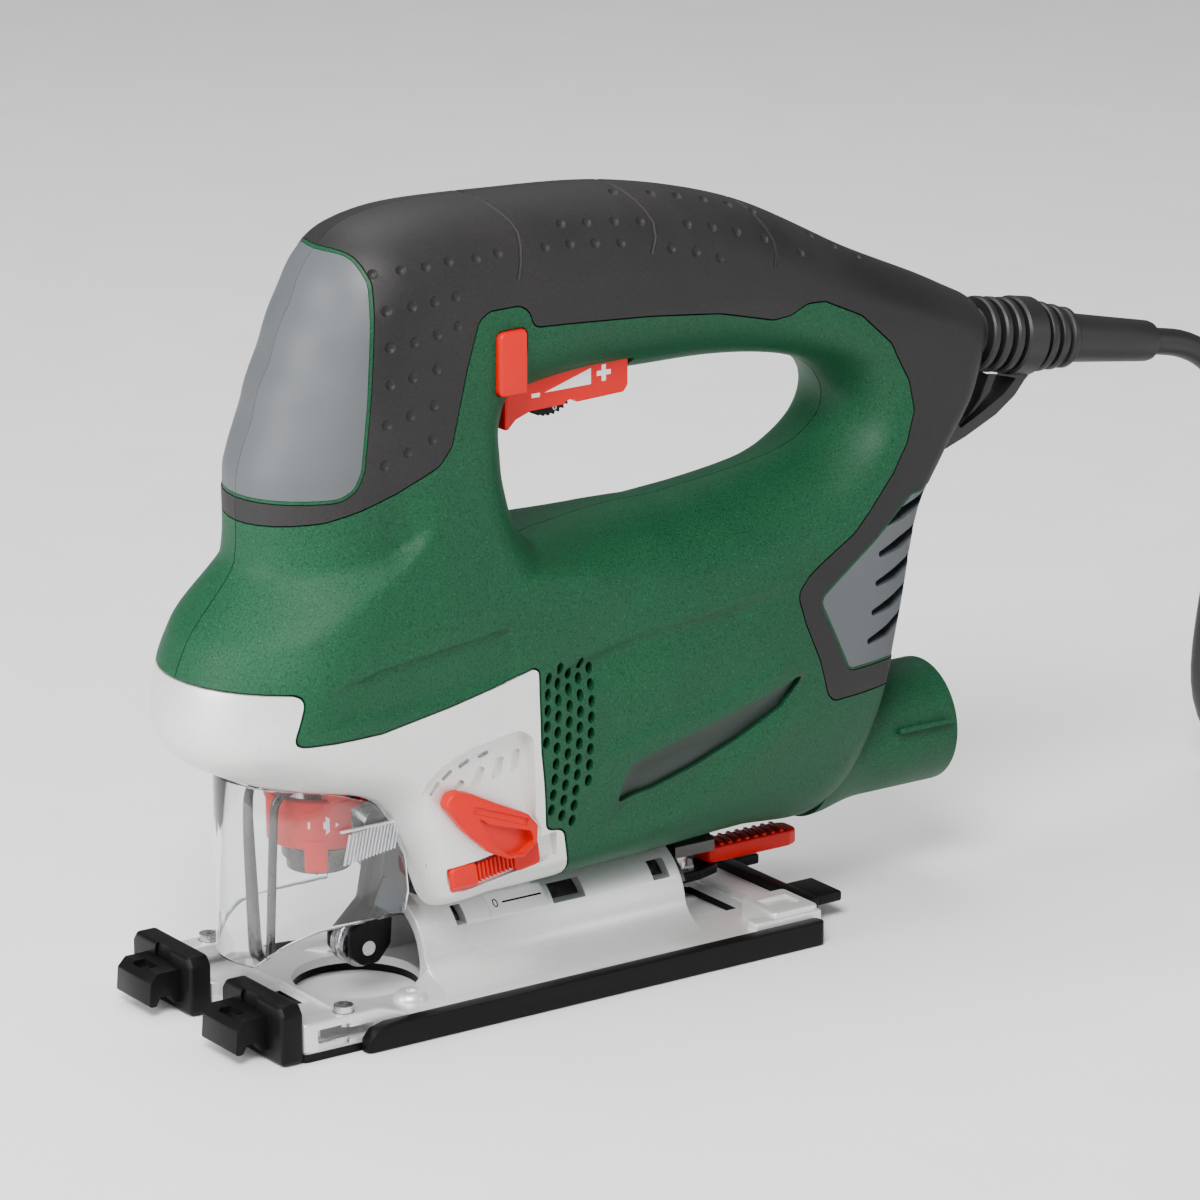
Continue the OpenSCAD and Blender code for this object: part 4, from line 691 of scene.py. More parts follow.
layers = {"outer": 0, "under": 1.8, "inside": 4.4}  # depth of each skin below the surface
skins = {name: pushed(skinLoft(depth), sideRelief) for name, depth in layers.items()}
skins["low"] = lowered(copyOf(skins["outer"]), 0.25)
outerTree = BVHTree.FromPolygons([v.co.copy() for v in skins["outer"].data.vertices],
                                 [tuple(p.vertices) for p in skins["outer"].data.polygons])
print("skins lofted with", len(skins["outer"].data.vertices), "points")


def skinHit(start, way):  # where a line meets the skin, and the normal there
    hit, normal, _, _ = outerTree.ray_cast(Vector(start) * mm, Vector(way))
    return (hit * 1000, normal) if hit else (None, None)


def onSkin(x, z, side=-1):
    return skinHit((x, side * 80, z), (0, -side, 0))


def onTop(x, y):
    return skinHit((x, y, 260), (0, 0, -1))


def zonePrism(zone, by, radius):
    return plate(grown(rounded(zone, radius, 6), by), -75, 75)


def halves(obj, gap=0.07):  # parts a shell down the middle with a hair seam
    left, right = obj, copyOf(obj)
    cut(left, box((-200, -gap, -50), (300, 100, 300)))
    cut(right, box((-200, -100, -50), (300, gap, 300)))
    return left, right


# holes through the shell and the rubber over it: base cradle, suction neck, cord boot, trigger, lock button
bearing = {"height": 9, "radius": 17.3}
neck = {"start": (104, 0, 42.3), "length": 45.5, "radius": 17.4, "bore": 15.8, "flare": 2.6}
bootRoot, bootTilt = Vector((163, 0, 150.6)), math.radians(9.8)
bootWay = Vector((math.cos(bootTilt), 0, -math.sin(bootTilt)))


def bearingRod(sides):
    return rod((-60, 0, bearing["height"]), (100, 0, bearing["height"]), bearing["radius"], sides)


openings = [bearingRod(72), rod(neck["start"], (160, 0, 42.3), 17.55, 72),
            rod(bootRoot - bootWay * 25, bootRoot + bootWay * 30, 7.6, 48),
            soften(box((-1, -13.3, 145), (42.5, 13.3, 173.5)), 1.2, 3),
            slab(oblong(-8.3, 161.7, 2.3, 179.3), 2.5, -40, -13)]
screws = {"radius": 3.7,
          "places": [(-22, 192), (58, 184), (106, 178), (143, 144), (112, 112), (-8, 128), (84, 46), (15, 43)]}
screwHoles = [rod((x, 13 if z > 140 else 18, z), (x, 60, z), screws["radius"]) for x, z in screws["places"]]

# green shell
crescent = {"depth": 1.3, "outline": [(24.6, 48.6), (25.4, 54.8), (28, 59.8), (51, 66), (70, 70.2), (87, 74.4),
                                      (78.5, 65.6), (64.4, 59), (50.6, 54), (37, 50.2)]}
vents = {"pitch": 4.35, "between": 3.55, "wide": 1.15, "tall": 1.75, "start": (-0.4, 40), "lean": 0.12,
         "stagger": 2.2,
         "region": [(-3.4, 92), (16.8, 92), (16.2, 60), (11.4, 38), (7.6, 46.2), (2.6, 47), (-0.6, 68)]}
hole = ball(1)
hole.data.transform(Matrix.Diagonal((vents["wide"], 30, vents["tall"], 1)))
ventHoles = []
for column in range(7):
    for row in range(-1, 14):
        x = vents["start"][0] + column * vents["between"] + row * vents["lean"]
        z = vents["start"][1] + row * vents["pitch"] + column % 2 * vents["stagger"]
        if insideBy(np.array([x]), np.array([z]), vents["region"])[0] > 1.3:
            ventHoles += [moved(copyOf(hole), (x, side * 34, z)) for side in (-1, 1)]
bpy.data.objects.remove(hole)
underPaint = cut(copyOf(skins["under"]), zonePrism(silverZone, 0.12, 3))
shell = cut(copyOf(skins["outer"]), zonePrism(silverZone, 0.5, 3), zonePrism(blackZone, 0.3, 5))
united(shell, underPaint)
cut(shell, skins["inside"], keep=True)
cut(shell, zonePrism(grilleZone, -0.7, 3))
cut(shell, *openings, keep=True)
pocket = cut(slab(crescent["outline"], 1.6, -75, 75), lowered(copyOf(skins["outer"]), crescent["depth"]))
cut(shell, joined(ventHoles), pocket)
shellLeft, shellRight = halves(shell, 0.17)
cut(shellRight, *screwHoles, keep=True)
print("shell", len(shellLeft.data.polygons))

# rubber skin with dimples and grooves
grip = boolean(copyOf(skins["outer"]), zonePrism(blackZone, -0.12, 5), "INTERSECT")
cut(grip, skins["under"], keep=True)
cut(grip, zonePrism(padZone, 0.1, 7), zonePrism(grilleZone, 0.1, 4))
cut(grip, *openings, keep=True)
dimples = {"radius": 1.9, "lift": 1.1, "side": [
    (-41.8, 197.8), (-40.8, 189), (-40.9, 180), (-41.6, 170.7), (-43, 160.5), (-44, 150.2), (-35, 198.4),
    (-34, 189.6), (-34.2, 180.6), (-35, 171.6), (-36, 162), (-37, 152.6), (-28, 198.6), (-27.3, 190),
    (-27, 181.6), (-27.6, 172.7), (-28.8, 163.6), (-29.5, 155), (-21, 199), (-20.6, 190.4), (-20.4, 182.8),
    (-12.6, 198.7), (-5.5, 199), (9.7, 198.5), (17.7, 198.3), (25.6, 197.4), (33.7, 196.4), (49.5, 193),
    (57.4, 191), (65, 188.5)],
    "top": [(x, 16) for x in (17, 25, 33.7, 42, 57, 65, 73, 82, 94)]
    + [(x, 8) for x in (39, 51, 59.5, 68, 76, 84, 103, 111, 119)]}
dimpleBall = ball(dimples["radius"])
spots = [onSkin(x, z, side) for x, z in dimples["side"] for side in (-1, 1)
         if side < 0 or math.hypot(x + 22, z - 192) >= 6]  # none over the upper screw hole
spots += [onTop(x, y * side) for x, y in dimples["top"] for side in (-1, 1)]
dents = [moved(copyOf(dimpleBall), at + normal * dimples["lift"]) for at, normal in spots if at]
bpy.data.objects.remove(dimpleBall)
cut(grip, joined(dents))
grooves = {"radius": 0.75, "lift": 0.25,
           "sides": [[(-0.5, 191.5), (1, 196), (2.2, 200), (2.8, 203)], [(43, 192.5), (45.3, 196.5), (46, 200)],
                     [(83, 183.5), (84.8, 187), (85.3, 190)]],
           "tops": [(2.2, -3), (45.2, 41), (84.6, 81.5)]}  # where each crosses the shoulder and the ridge
for line, (xSide, xTop) in zip(grooves["sides"], grooves["tops"]):
    hits = [onSkin(x, z) for x, z in line]
    yEdge = abs((hits[-1][0] + hits[-1][1] * grooves["lift"]).y) - 2.5
    for j in range(21):
        y = -yEdge + 2 * yEdge * j / 20
        hits.append(onTop(xTop + (xSide - xTop) * abs(y / yEdge) ** 1.5, y))
    hits += [onSkin(x, z, 1) for x, z in reversed(line)]
    cut(grip, tube([at + normal * grooves["lift"] for at, normal in hits], grooves["radius"]))
gripLeft, gripRight = halves(grip)
cut(gripRight, *screwHoles, keep=True)
print("grip", len(gripLeft.data.polygons))

# front pad with finger dents, and thin green rims round pad and inlet
padDents = {"heights": (160, 174.5, 188.5), "depth": 0.75}


def dentRelief(at, normal):
    out = np.zeros(len(at), np.float32)
    x, y, z = at[:, 0], at[:, 1], at[:, 2]
    for height in padDents["heights"]:
        line = height + (x + 68) * 0.08
        out -= padDents["depth"] * np.exp(-((z - line) / 4) ** 2) * (1 - easeAll((np.abs(y) - 11) / 9))
    return out


pad = boolean(pushed(copyOf(skins["low"]), dentRelief), zonePrism(padZone, -1, 6.4), "INTERSECT")
cut(pad, skins["under"], keep=True)
padLeft, padRight = halves(pad)


def rimOf(zone, outer, inner, radius):
    ring = cut(zonePrism(zone, outer, radius), zonePrism(zone, inner, radius))
    rim = boolean(copyOf(skins["low"]), ring, "INTERSECT")
    return cut(rim, skins["under"], keep=True)


padRim = rimOf(padZone, -0.12, -0.85, 7)
grilleRim = rimOf(grilleZone, -0.1, -0.75, 4)

# slotted inlet at the back
inlet = {"slots": 5, "foot": (112.5, 77.2), "step": (1.35, 7.9), "reach": (10.5, 5.2)}
grille = boolean(copyOf(skins["low"]), zonePrism(grilleZone, -0.85, 3), "INTERSECT")
cut(grille, skins["inside"], keep=True)
slots = []
for i in range(inlet["slots"]):
    x, z = inlet["foot"][0] + inlet["step"][0] * i, inlet["foot"][1] + inlet["step"][1] * i
    dx, dz = inlet["reach"]
    slots.append(slab([(x - 3.4, z + 1.2), (x - 3, z - 0.4), (x + dx * 0.5, z + dz * 0.42 - 1.5),
                       (x + dx + i, z + dz - 0.8 - i * 0.2), (x + dx + i + 0.6, z + dz + 2.4 - i * 0.2),
                       (x + dx * 0.4, z + dz * 0.42 + 1.7)], 1.1, -60, 60))
cut(grille, joined(slots), rod(neck["start"], (164, 0, 42.3), 17.6, 72))
grilleLeft, grilleRight = halves(grille)

# painted casting of nose and neck
casting = {"recess": [(-34.6, 55), (-36.4, 61), (-35, 65.4), (-31, 69.4), (-22, 73.2), (-8.2, 75.6), (-3.8, 73),
                      (-1.6, 50), (1.1, 46), (0.6, 39.6), (-21, 39.6), (-28.5, 46)],
           "recessDepth": -28.9, "markDepth": -27.7, "slide": (-13.5, -27.9, 37.6), "slideLean": -8.6,
           "marks": [  # place, height, width and lean of the dashes and windows beside the lever
               (-31.6, 62.8, 1.5, 4.2, -50), (-27.8, 65.8, 1.3, 3.6, -34), (-22.6, 68, 1.3, 3.6, -24),
               (-16.6, 69.4, 1.3, 3.4, -14), (-24.4, 61.6, 4.6, 2.2, 38), (-18.2, 63.6, 5.6, 2.6, 26),
               (-12, 65, 6, 2.6, 16), (-6.6, 66, 6, 2.4, 8)]}
cast = boolean(copyOf(skins["outer"]), zonePrism(silverZone, -0.12, 3), "INTERSECT")
inner = cut(pushed(skinLoft(3), sideRelief), soften(box((-38, -40, 38), (1.2, -25.9, 76)), 1, 2))
slideCut = turned(soften(box((-13.1, -10, -3.9), (20.2, 1.75, 3.9)), 0.5, 2), casting["slideLean"], "Y")
cut(cast, inner, slab(casting["recess"], 3.2, -60, casting["recessDepth"]), moved(slideCut, casting["slide"]),
    rod((-73.4, 0, 60), (-73.4, 0, 80), 2.35), rod((-29, -23.5, 41), (-29, 23.5, 41), 2.05, 24), bearingRod(96))
wellBow = [(-50 + 15.5 * math.cos(math.radians(d)), 15.5 * math.sin(math.radians(d))) for d in range(90, 271, 10)]
cut(cast, plate(wellBow + [(-40, -15.5), (-40, 15.5)], 40, 80, "Z"),
    plate([(-70, 60), (-44, 62), (-27, 56), (-24, 34), (-24, 20), (-70, 20)], -17.5, 17.5),
    *(rod((7, s * 26, 79), (15, s * 26, 79), 1.65, 24) for s in (-1, 1)))
marks = [turned(slab(oblong(x - wide / 2, z - tall / 2, x + wide / 2, z + tall / 2), 0.9, -60, casting["markDepth"]),
                lean, "Y", (x, 0, z)) for x, z, tall, wide, lean in casting["marks"]]
cut(cast, joined(marks))
print("cast", len(cast.data.polygons))

# suction neck, flared where it leaves the body
end, radius, bore = neck["length"], neck["radius"], neck["bore"]
profile = [(2.5, 0), (2.5, bore), (end - 0.7, bore), (end - 0.2, bore + 0.2), (end, bore + 0.6), (end, radius - 0.5),
           (end - 0.3, radius - 0.1), (end - 0.9, radius)]
profile += [(d, radius + neck["flare"] * ease((20 - d) / 20) ** 1.4) for d in range(40, -1, -2)] + [(0, 0)]
ridge = turned(soften(box((128, -19.2, 38), (146, -17, 39.4)), 0.4, 2), -24, "X", (0, 0, 42.3))
dustNeck = united(spun(profile, neck["start"], (1, 0, 0), 96), ridge)
cut(dustNeck, box((103, -7.55, 31.55), (113, 7.55, 37.25)))



def handInHalves(pair, name, look, node):
    for half, side in zip(pair, ("Left", "Right")):
        handIn(half, look, name + side, "housing", [f"{node}_{side.lower()}"], 38)


handInHalves((shellLeft, shellRight), "shell", greenShell, "housing")
handInHalves((gripLeft, gripRight), "grip", gripRubber, "grip")
handInHalves((padLeft, padRight), "pad", softGrey, "front_pad")
handIn(padRim, greenShell, "padRim", "housing", (), 38)
handIn(grilleRim, greenShell, "grilleRim", "housing", (), 38)
handInHalves((grilleLeft, grilleRight), "grille", softGrey, "rear_grille")
handIn(cast, paintedCast, "cast", "housing", ["gearbox_housing"], 38)
handIn(dustNeck, greenShell, "dustNeck", "housing", ["dust_tube"], 38)
for obj in (shellLeft, shellRight):  # painted shade: a darker green on the floor of the side pocket
    obj.data.materials.append(pocketShadeGreen)
    faces = obj.data.polygons
    middles = np.array([list(f.center) for f in faces]) * 1000
    deep = insideBy(middles[:, 0], middles[:, 2], crescent["outline"]) > 0.05
    deep &= np.array([abs(f.normal.y) > 0.7 for f in faces]) & (np.abs(middles[:, 1]) > 27)
    faces.foreach_set("material_index", deep.astype(np.int32))
for obj in [*skins.values(), *openings, *screwHoles]:
    bpy.data.objects.remove(obj)
print("body pieces made")


def figure(text, high, at, facing, up, thick):  # a number standing up on a plane that faces a given way
    curve = bpy.data.curves.new("figure", "FONT")
    curve.body, curve.size = text, high * 1.35 * mm
    curve.align_x, curve.align_y, curve.extrude = "CENTER", "CENTER", thick * mm
    obj = bpy.data.objects.new("figure", curve)
    bpy.context.scene.collection.objects.link(obj)
    pick(obj)
    bpy.ops.object.convert(target="MESH")
    obj = outward(bpy.context.object, 0.002)
    z = Vector(facing).normalized()
    x = Vector(up).cross(z).normalized()
    turn = Matrix((x, z.cross(x), z)).transposed().to_4x4()
    obj.data.transform(Matrix.Translation(Vector(at) * mm) @ turn)
    return obj


# trigger with its printed symbols, thumb wheel and lock button
triggerShape = {"outline": [(1.5, 172), (8.5, 172), (40.4, 168.6), (40.4, 156.4), (39, 154.6), (24.5, 154),
                            (9.5, 153.6), (5, 152), (2.4, 149.5), (1.3, 149.7)],
                "half": 13, "pivot": (5, 169.5), "hollow": (8.3, 29.7, 7.3),
                "symbols": [oblong(9.7, 157.2, 12.3, 158.3), [(13.8, 158.1), (28.4, 158.3), (28.4, 162.6)],
                            [(31.85, 158.6), (33.15, 158.6), (33.15, 160.15), (34.7, 160.15), (34.7, 161.45),
                             (33.15, 161.45), (33.15, 163), (31.85, 163), (31.85, 161.45), (30.3, 161.45),
                             (30.3, 160.15), (31.85, 160.15)]]}
wheel = {"x": 19, "z": 159.3, "radius": 9.5, "teeth": 36, "half": 7, "hub": 1.45, "dish": 6.2}
half, (px, pz), (hollowFront, hollowRear, hollowHalf) = (triggerShape[k] for k in ("half", "pivot", "hollow"))
wx, wz = wheel["x"], wheel["z"]
trigger = soften(slab(triggerShape["outline"], 1.3, -half, half), 0.8, 3, 50)
cut(trigger, box((hollowFront, -hollowHalf, 140), (hollowRear, hollowHalf, 185)),
    rod((px, -30, pz), (px, 30, pz), 1.56, 24), rod((wx, -10, wz), (wx, 10, wz), 1.5, 24),
    *(rod((22, s * 14, 152.2), (22, s * 6, 152.2), 2.9) for s in (-1, 1)))
handIn(trigger, redControl, "triggerBlade", "trigger_body", ["trigger"])
symbols = [plate(outline, -half - 0.06, -half + 0.1) for outline in triggerShape["symbols"]]
handIn(joined(symbols), whitePrint, "triggerSymbols", "trigger_body")

rim = []
for i in range(wheel["teeth"]):
    for part, r in ((0, 0), (0.3, 0), (0.5, -0.7), (0.8, -0.7)):
        angle = 2 * math.pi * (i + part) / wheel["teeth"]
        rim.append((wx + (wheel["radius"] + r) * math.cos(angle), wz + (wheel["radius"] + r) * math.sin(angle)))
dial = soften(plate(rim, -wheel["half"], wheel["half"]), 0.25, 2, 60)
cut(dial, *(rod((wx, s * 6.5, wz), (wx, s * 9, wz), wheel["dish"], 48) for s in (-1, 1)))
united(dial, rod((wx, -9.75, wz), (wx, 9.75, wz), wheel["hub"], 24))
handIn(dial, glossBlack, "thumbWheel", "dial", ["speed_dial"])
digits = []
for i in range(6):
    angle = math.radians(-75 - 52 * i)
    out = Vector((math.cos(angle), 0, math.sin(angle)))
    at = Vector((wx, -wheel["half"], wz)) + out * 7.5
    digits.append(figure(str(6 - i), 2.1, at, (0, -1, 0), -out, 0.08))
handIn(joined(digits), whitePrint, "wheelNumbers", "dial")

lockShape = {"outline": oblong(-8, 162, 2, 179), "inner": -17, "outer": -25, "slant": 40}
lock = soften(slab(lockShape["outline"], 2.3, lockShape["outer"], lockShape["inner"], steps=5), 1.1, 4, 50)
slant = plate(oblong(0.2, 150, 8, 190), lockShape["outer"] - 2, lockShape["outer"] + 1)
cut(lock, turned(slant, lockShape["slant"], "Z", (0.2, lockShape["outer"], 0)))
united(lock, soften(box((-6, -18, 165), (0, -14.2, 173)), 0.4, 2))
handIn(lock, redControl, "lockButton", "lock", ["lock_button"])

# lever for the orbital action
leverShape = {"outline": [(-29.2, 61.6), (-31, 58.6), (-24.3, 50.2), (-17.2, 43.6), (-11.2, 40.8), (-6.4, 40.6),
                          (-2.4, 43.6), (-2, 48.4), (-4.8, 51.8), (-15.2, 56.8), (-22.3, 60.5), (-26.6, 62)],
              "facet": [(-21.4, 54.4), (-17.6, 51.6), (-5, 47.6), (-3, 44), (-7, 41.6), (-11.6, 41.8), (-16, 45.4)],
              "back": -29.05, "front": -33.3, "facetLean": 7, "pivot": (-5.5, 45.5, 3.3)}
lever = soften(slab(leverShape["outline"], 2.2, leverShape["front"], leverShape["back"]), 0.9, 3, 50)
facet = turned(slab(leverShape["facet"], 1, -35, -32.3, steps=3), leverShape["facetLean"], "Z", (-18, -32.6, 0))
cut(lever, facet, rod((-22.4, -33.9, 56.4), (-5.6, -33.9, 50), 1.2, 16))
x, z, radius = leverShape["pivot"]
united(lever, rod((x, -29.2, z), (x, -15, z), radius, 40))
handIn(lever, redControl, "orbitLever", "orbit", ["orbital_lever"])

# dog-bone slide for the chip blower, modelled level and then leant
slideShape = {"start": -12.7, "end": 14.8, "block": 8, "half": 3.65, "ribs": 9, "ribPitch": 1.25}
start, end, block, half = (slideShape[k] for k in ("start", "end", "block", "half"))
parts = [soften(slab(oblong(low, -half, low + block, half), 1.6, -0.8, 1.6), 0.5, 3, 50)
         for low in (start, end - block)]
parts.append(box((start + 4, 0.5, -2.3), (end - 4, 1.6, 2.3)))
for i in range(slideShape["ribs"]):
    x = slideShape["ribPitch"] * i
    parts.append(soften(box((-4.1 + x, -0.2, -2.6), (-3.4 + x, 1, 2.6)), 0.2, 2))
slide = moved(turned(united(*parts), casting["slideLean"], "Y"), casting["slide"])
cut(slide, plate([(-20, 25.9), (-40, 45.9), (-40, 10), (-20, 10)], -50, 20, "X"))  # clears the base at full tilt
handIn(slide, redControl, "blowerSlide", "blower", ["blower_switch"])

# cast base: sheet, round cradle with spread feet, toe boxes and rear blocks
base = {"front": -77.5, "rear": 88, "half": 37, "low": 2, "top": 4.4, "cradleFront": -27, "cradleRear": 57,
        "cradleRadius": 17, "cradleBore": 14, "screwHalf": 33.3,
        "windows": [(-15.4, -12.2), (15.4, 25.8), (48, 53.4)],
        "flank": [(28.5, 4.3), (26.5, 4.7), (24.5, 5.3), (22.4, 6.1), (20.4, 7.2), (18.6, 8.6), (17.4, 10.3)]}
front, rear, wide, curve = (base[k] for k in ("front", "rear", "half", "cradleRadius"))
axisHigh = bearing["height"]


def baseOpenings(low):  # blade notch, round opening and bolt slot
    return [box((-100, -7.6, low), (-57, 7.6, 10)), rod((-38, 0, low), (-38, 0, 10), 17, 96),
            box((62, -14, low), (80, 14, 10))]


sheet = slab(oblong(front, -wide, rear, wide), 2.5, base["low"], base["top"], "Z")
notch, opening, slot = baseOpenings(0)
cut(sheet, notch, opening, soften(slot, 1.5, 3))
profile = base["flank"] + [(curve * math.cos(math.radians(d)), axisHigh + curve * math.sin(math.radians(d)))
                           for d in range(8, 91, 4)]
outline = [(28.5, 3)] + profile + [(-y, z) for y, z in reversed(profile[:-1])] + [(-28.5, 3)]
cradle = soften(plate(outline, base["cradleFront"], base["cradleRear"], "X"), 0.5, 2, 60)
cut(cradle, rod((-40, 0, axisHigh), (70, 0, axisHigh), base["cradleBore"], 96),
    box((-40, -12, -2), (70, 12, axisHigh)),
    *(box((low, -24, 18), (high, 24, 22.4)) for low, high in base["windows"]))
parts = [sheet, cradle]
for s in (-1, 1):
    foot = meshOf("foot", [(-26.5, s * 16.2, 4), (-26.5, s * 28, 4), (-39.5, s * 25.5, 4), (-35, s * 19.5, 4),
                           (-26.5, s * 16.6, 9.6), (-26.5, s * 20, 7.4), (-38.4, s * 25, 4.6), (-34, s * 19.8, 5.6)],
                  [(0, 1, 2, 3), (4, 5, 6, 7), (0, 1, 5, 4), (1, 2, 6, 5), (2, 3, 7, 6), (3, 0, 4, 7)])
    toeBox = cut(slab(oblong(-77.4, s * 29.4, -44.6, s * wide), 1.6, 2, 10, "Z"),
                 plate([(-60, 12), (-43, 6.2), (-43, 14)], -50, 50))
    cut(soften(toeBox, 0.7, 3, 45), soften(box((-73.2, s * 33, 4.4), (-63.4, s * 45, 8)), 0.5, 2))
    edge = cut(plate(oblong(-44, s * 33, 80, s * wide), 3, 6, "Z"),
               plate([(-60, 4.5), (8, 4.5), (12, 6.1), (12, 9), (-60, 9)], -60, 60))
    rearBlock = soften(slab(oblong(73, s * 19.5, 87.6, s * 35.6), 1.5, 3, 9.6, "Z"), 0.7, 3, 45)
    cut(rearBlock, soften(box((75.4, s * 24, 8.6), (85, s * 31, 12)), 0.4, 2))
    parts += [soften(outward(foot), 0.6, 3, 20), toeBox, soften(box((-77.4, s * 8, 3), (-75, s * 36, 8)), 0.6, 2),
              soften(edge, 0.5, 2, 50), rearBlock, soften(box((66, s * 32, 3), (87.8, s * wide, 8.4)), 0.7, 3)]
boss = spun([(0, 0), (0, 4.6), (0.8, 4.5), (1.8, 3.9), (2.3, 3), (2.3, 1.4), (1.7, 1.2), (1.7, 0)],
            (-35.5, -22.5, 4.3), (0, 0, 1), 40)
castBase = united(*parts, soften(box((80.5, -20, 3), (87.9, 20, 7)), 0.6, 2), boss)
cut(castBase, box((-70, -60, 3.6), (-56, 60, 6.8)))
for s in (-1, 1):
    y = s * base["screwHalf"]
    cut(castBase, rod((-63, y, 5), (-63, y, 20), 1.65, 24), rod((-63, y, 9.1), (-63, y, 20), 2.9))
handIn(castBase, dieCast, "castBase", "base", ["base_plate"])

# bevel scale on the cradle: a curved white plate with a figure and a line
scale = {"x": (-4.4, 13.6), "turn": (33, 55), "outer": 17.15, "inner": 16.6, "steps": 8, "mark": 44}
rows = scale["steps"] + 1
points, faces = [], []
for r in (scale["inner"], scale["outer"]):
    for i in range(rows):
        d = math.radians(scale["turn"][0] + (scale["turn"][1] - scale["turn"][0]) * i / scale["steps"])
        points += [(x, -r * math.cos(d), axisHigh + r * math.sin(d)) for x in scale["x"]]
top = 2 * rows  # number of the outer face's first point
for a in range(0, top - 2, 2):
    faces += [(a, a + 1, a + 3, a + 2), (top + a, top + a + 2, top + a + 3, top + a + 1),
              (a, a + 2, top + a + 2, top + a), (a + 1, top + a + 1, top + a + 3, a + 3)]
faces += [(0, top, top + 1, 1), (top - 2, top - 1, 2 * top - 1, 2 * top - 2)]
handIn(outward(meshOf("scalePlate", points, faces)), whitePrint, "scalePlate", "base")
angle = math.radians(scale["mark"])
facing = Vector((0, -math.cos(angle), math.sin(angle)))
centre = Vector((0, 0, axisHigh)) + facing * scale["outer"]
zero = figure("0", 2.6, centre - facing * 0.05 + Vector((-2, 0, 0)), facing, Vector((0, 0.69, 0.72)), 0.07)
line = moved(turned(box((0.2, -0.25, -0.05), (12.6, 0.25, 0.05)), 90 - scale["mark"], "X"), centre)
handIn(joined([zero, line]), glossBlack, "scaleMarks", "base")
clips = [soften(box((-73, s * 35.9, 2.4), (-63.6, s * 37.1, 4.6)), 0.3, 2) for s in (-1, 1)]
handIn(joined(clips), brightSteel, "guideClips", "base")

# plastic sole with side rails, toes and rear clips
sole = {"front": -77.9, "rear": 88.1, "half": 37.4, "top": 2, "railHalf": 41.3, "railTop": 6.6, "hookMiddle": 21.5,
        "toe": [(7.5, 0), (37.5, 0), (37.5, 13.4), (35.6, 16), (9.4, 16), (7.5, 13.4)],
        "hook": [(-93.4, 3), (-92.9, 9.6), (-90.6, 12), (-83, 12), (-83, 3), (-86, 3), (-87, 5.2), (-90, 5.6),
                 (-91.2, 3)]}
floorSheet = slab(oblong(sole["front"], -sole["half"], sole["rear"], sole["half"]), 2, 0, sole["top"], "Z", 3)
cut(floorSheet, *baseOpenings(-1))
parts = [floorSheet]
for s in (-1, 1):
    rail = cut(slab(oblong(-60.6, s * 36.95, 86, s * sole["railHalf"]), 1.9, 0, sole["railTop"], "Z", 5),
               plate([(-70, -1), (-60.7, -1), (-60.2, 3), (-57.6, 5.6), (-53, 6.7), (-53, 9), (-70, 9)], -60, 60))
    middle = s * sole["hookMiddle"]
    toe = soften(slab([(s * y, z) for y, z in sole["toe"]], 1.8, -84, -77.6, "X"), 1.1, 3, 45)
    cut(toe, rod((-95, middle, 13.2), (-83.2, middle, 13.2), 4.2, 40))
    hook = cut(slab(sole["hook"], 0.9, s * 13, s * 30, steps=3),
               rod((-88.6, middle - 5.5, 2.4), (-88.6, middle + 5.5, 2.4), 3.4))
    cut(soften(hook, 0.6, 2, 45), soften(box((-91.2, middle - 3.6, 10.2), (-87.4, middle + 3.6, 14)), 0.4, 2))
    parts += [soften(rail, 0.9, 3, 40), toe, hook, soften(box((91.8, s * 12, 4.6), (103, s * 26, 7.6)), 0.7, 3)]
shoe = united(*parts, soften(box((88, -30, 0), (92.2, 30, 9)), 0.9, 3))
handIn(shoe, glossBlack, "slidingShoe", "base", ["sliding_shoe"])

# clamping lever: dark neck and ribbed red grip
clamp = {"bolt": (65.8, 5.3),
         "neck": [(58.4, -5), (62, -7.3), (69, -7), (77, -4.4), (77, 4.4), (69, 7), (62, 7.3), (58.4, 5)],
         "grip": [(73.5, -4.4), (101, -4.4), (104.5, -3), (104.5, 3), (101, 4.4), (73.5, 4.4)],
         "neckHigh": (11.9, 14.7), "gripHigh": (14.75, 19.3), "ribs": 9, "ribPitch": 2.9, "ribLean": -12}
boltAt, boltRadius = clamp["bolt"]
clampNeck = soften(slab(clamp["neck"], 2.5, *clamp["neckHigh"], "Z", 5), 0.5, 2, 50)
cut(clampNeck, rod((boltAt, 0, 10), (boltAt, 0, 20), boltRadius, 6))
handIn(clampNeck, glossBlack, "clampNeck", "clamp")
parts = [soften(slab(clamp["grip"], 2.2, *clamp["gripHigh"], "Z", 5), 0.8, 3, 45)]
for i in range(clamp["ribs"]):
    x = clamp["ribPitch"] * i
    rib = soften(box((75.6 + x, -3.9, 18.6), (76.9 + x, 3.9, 19.95)), 0.35, 2)
    parts.append(turned(rib, clamp["ribLean"], "Z", (76.2 + x, 0, 0)))
handIn(united(*parts), redControl, "clampGrip", "clamp", ["clamp_lever"])
print("controls and base made")

# clear hood with folds and comb, wire guard
hood = {"centre": -57.5, "radius": 20, "wall": 1.6, "padHalf": 19.6, "clearOf": 8, "spare": 0.3,
        "pad": [(-44.6, 31), (-38, 27), (-35, 31.6), (-41.6, 38.6)],
        "side": [(-80, 17), (-37.5, 17), (-34, 33), (-35, 43.8), (-37, 48.7), (-39, 52.5), (-42, 56.6), (-45, 59.1),
                 (-48, 60.2), (-54, 62.4), (-60, 64.1), (-66, 65.2), (-71, 65.4), (-75, 65.9), (-80, 66.3)]}
comb = {"teeth": 15, "start": -52.6, "pitch": 1.05, "climb": 0.14, "half": 19.2, "lean": 12}


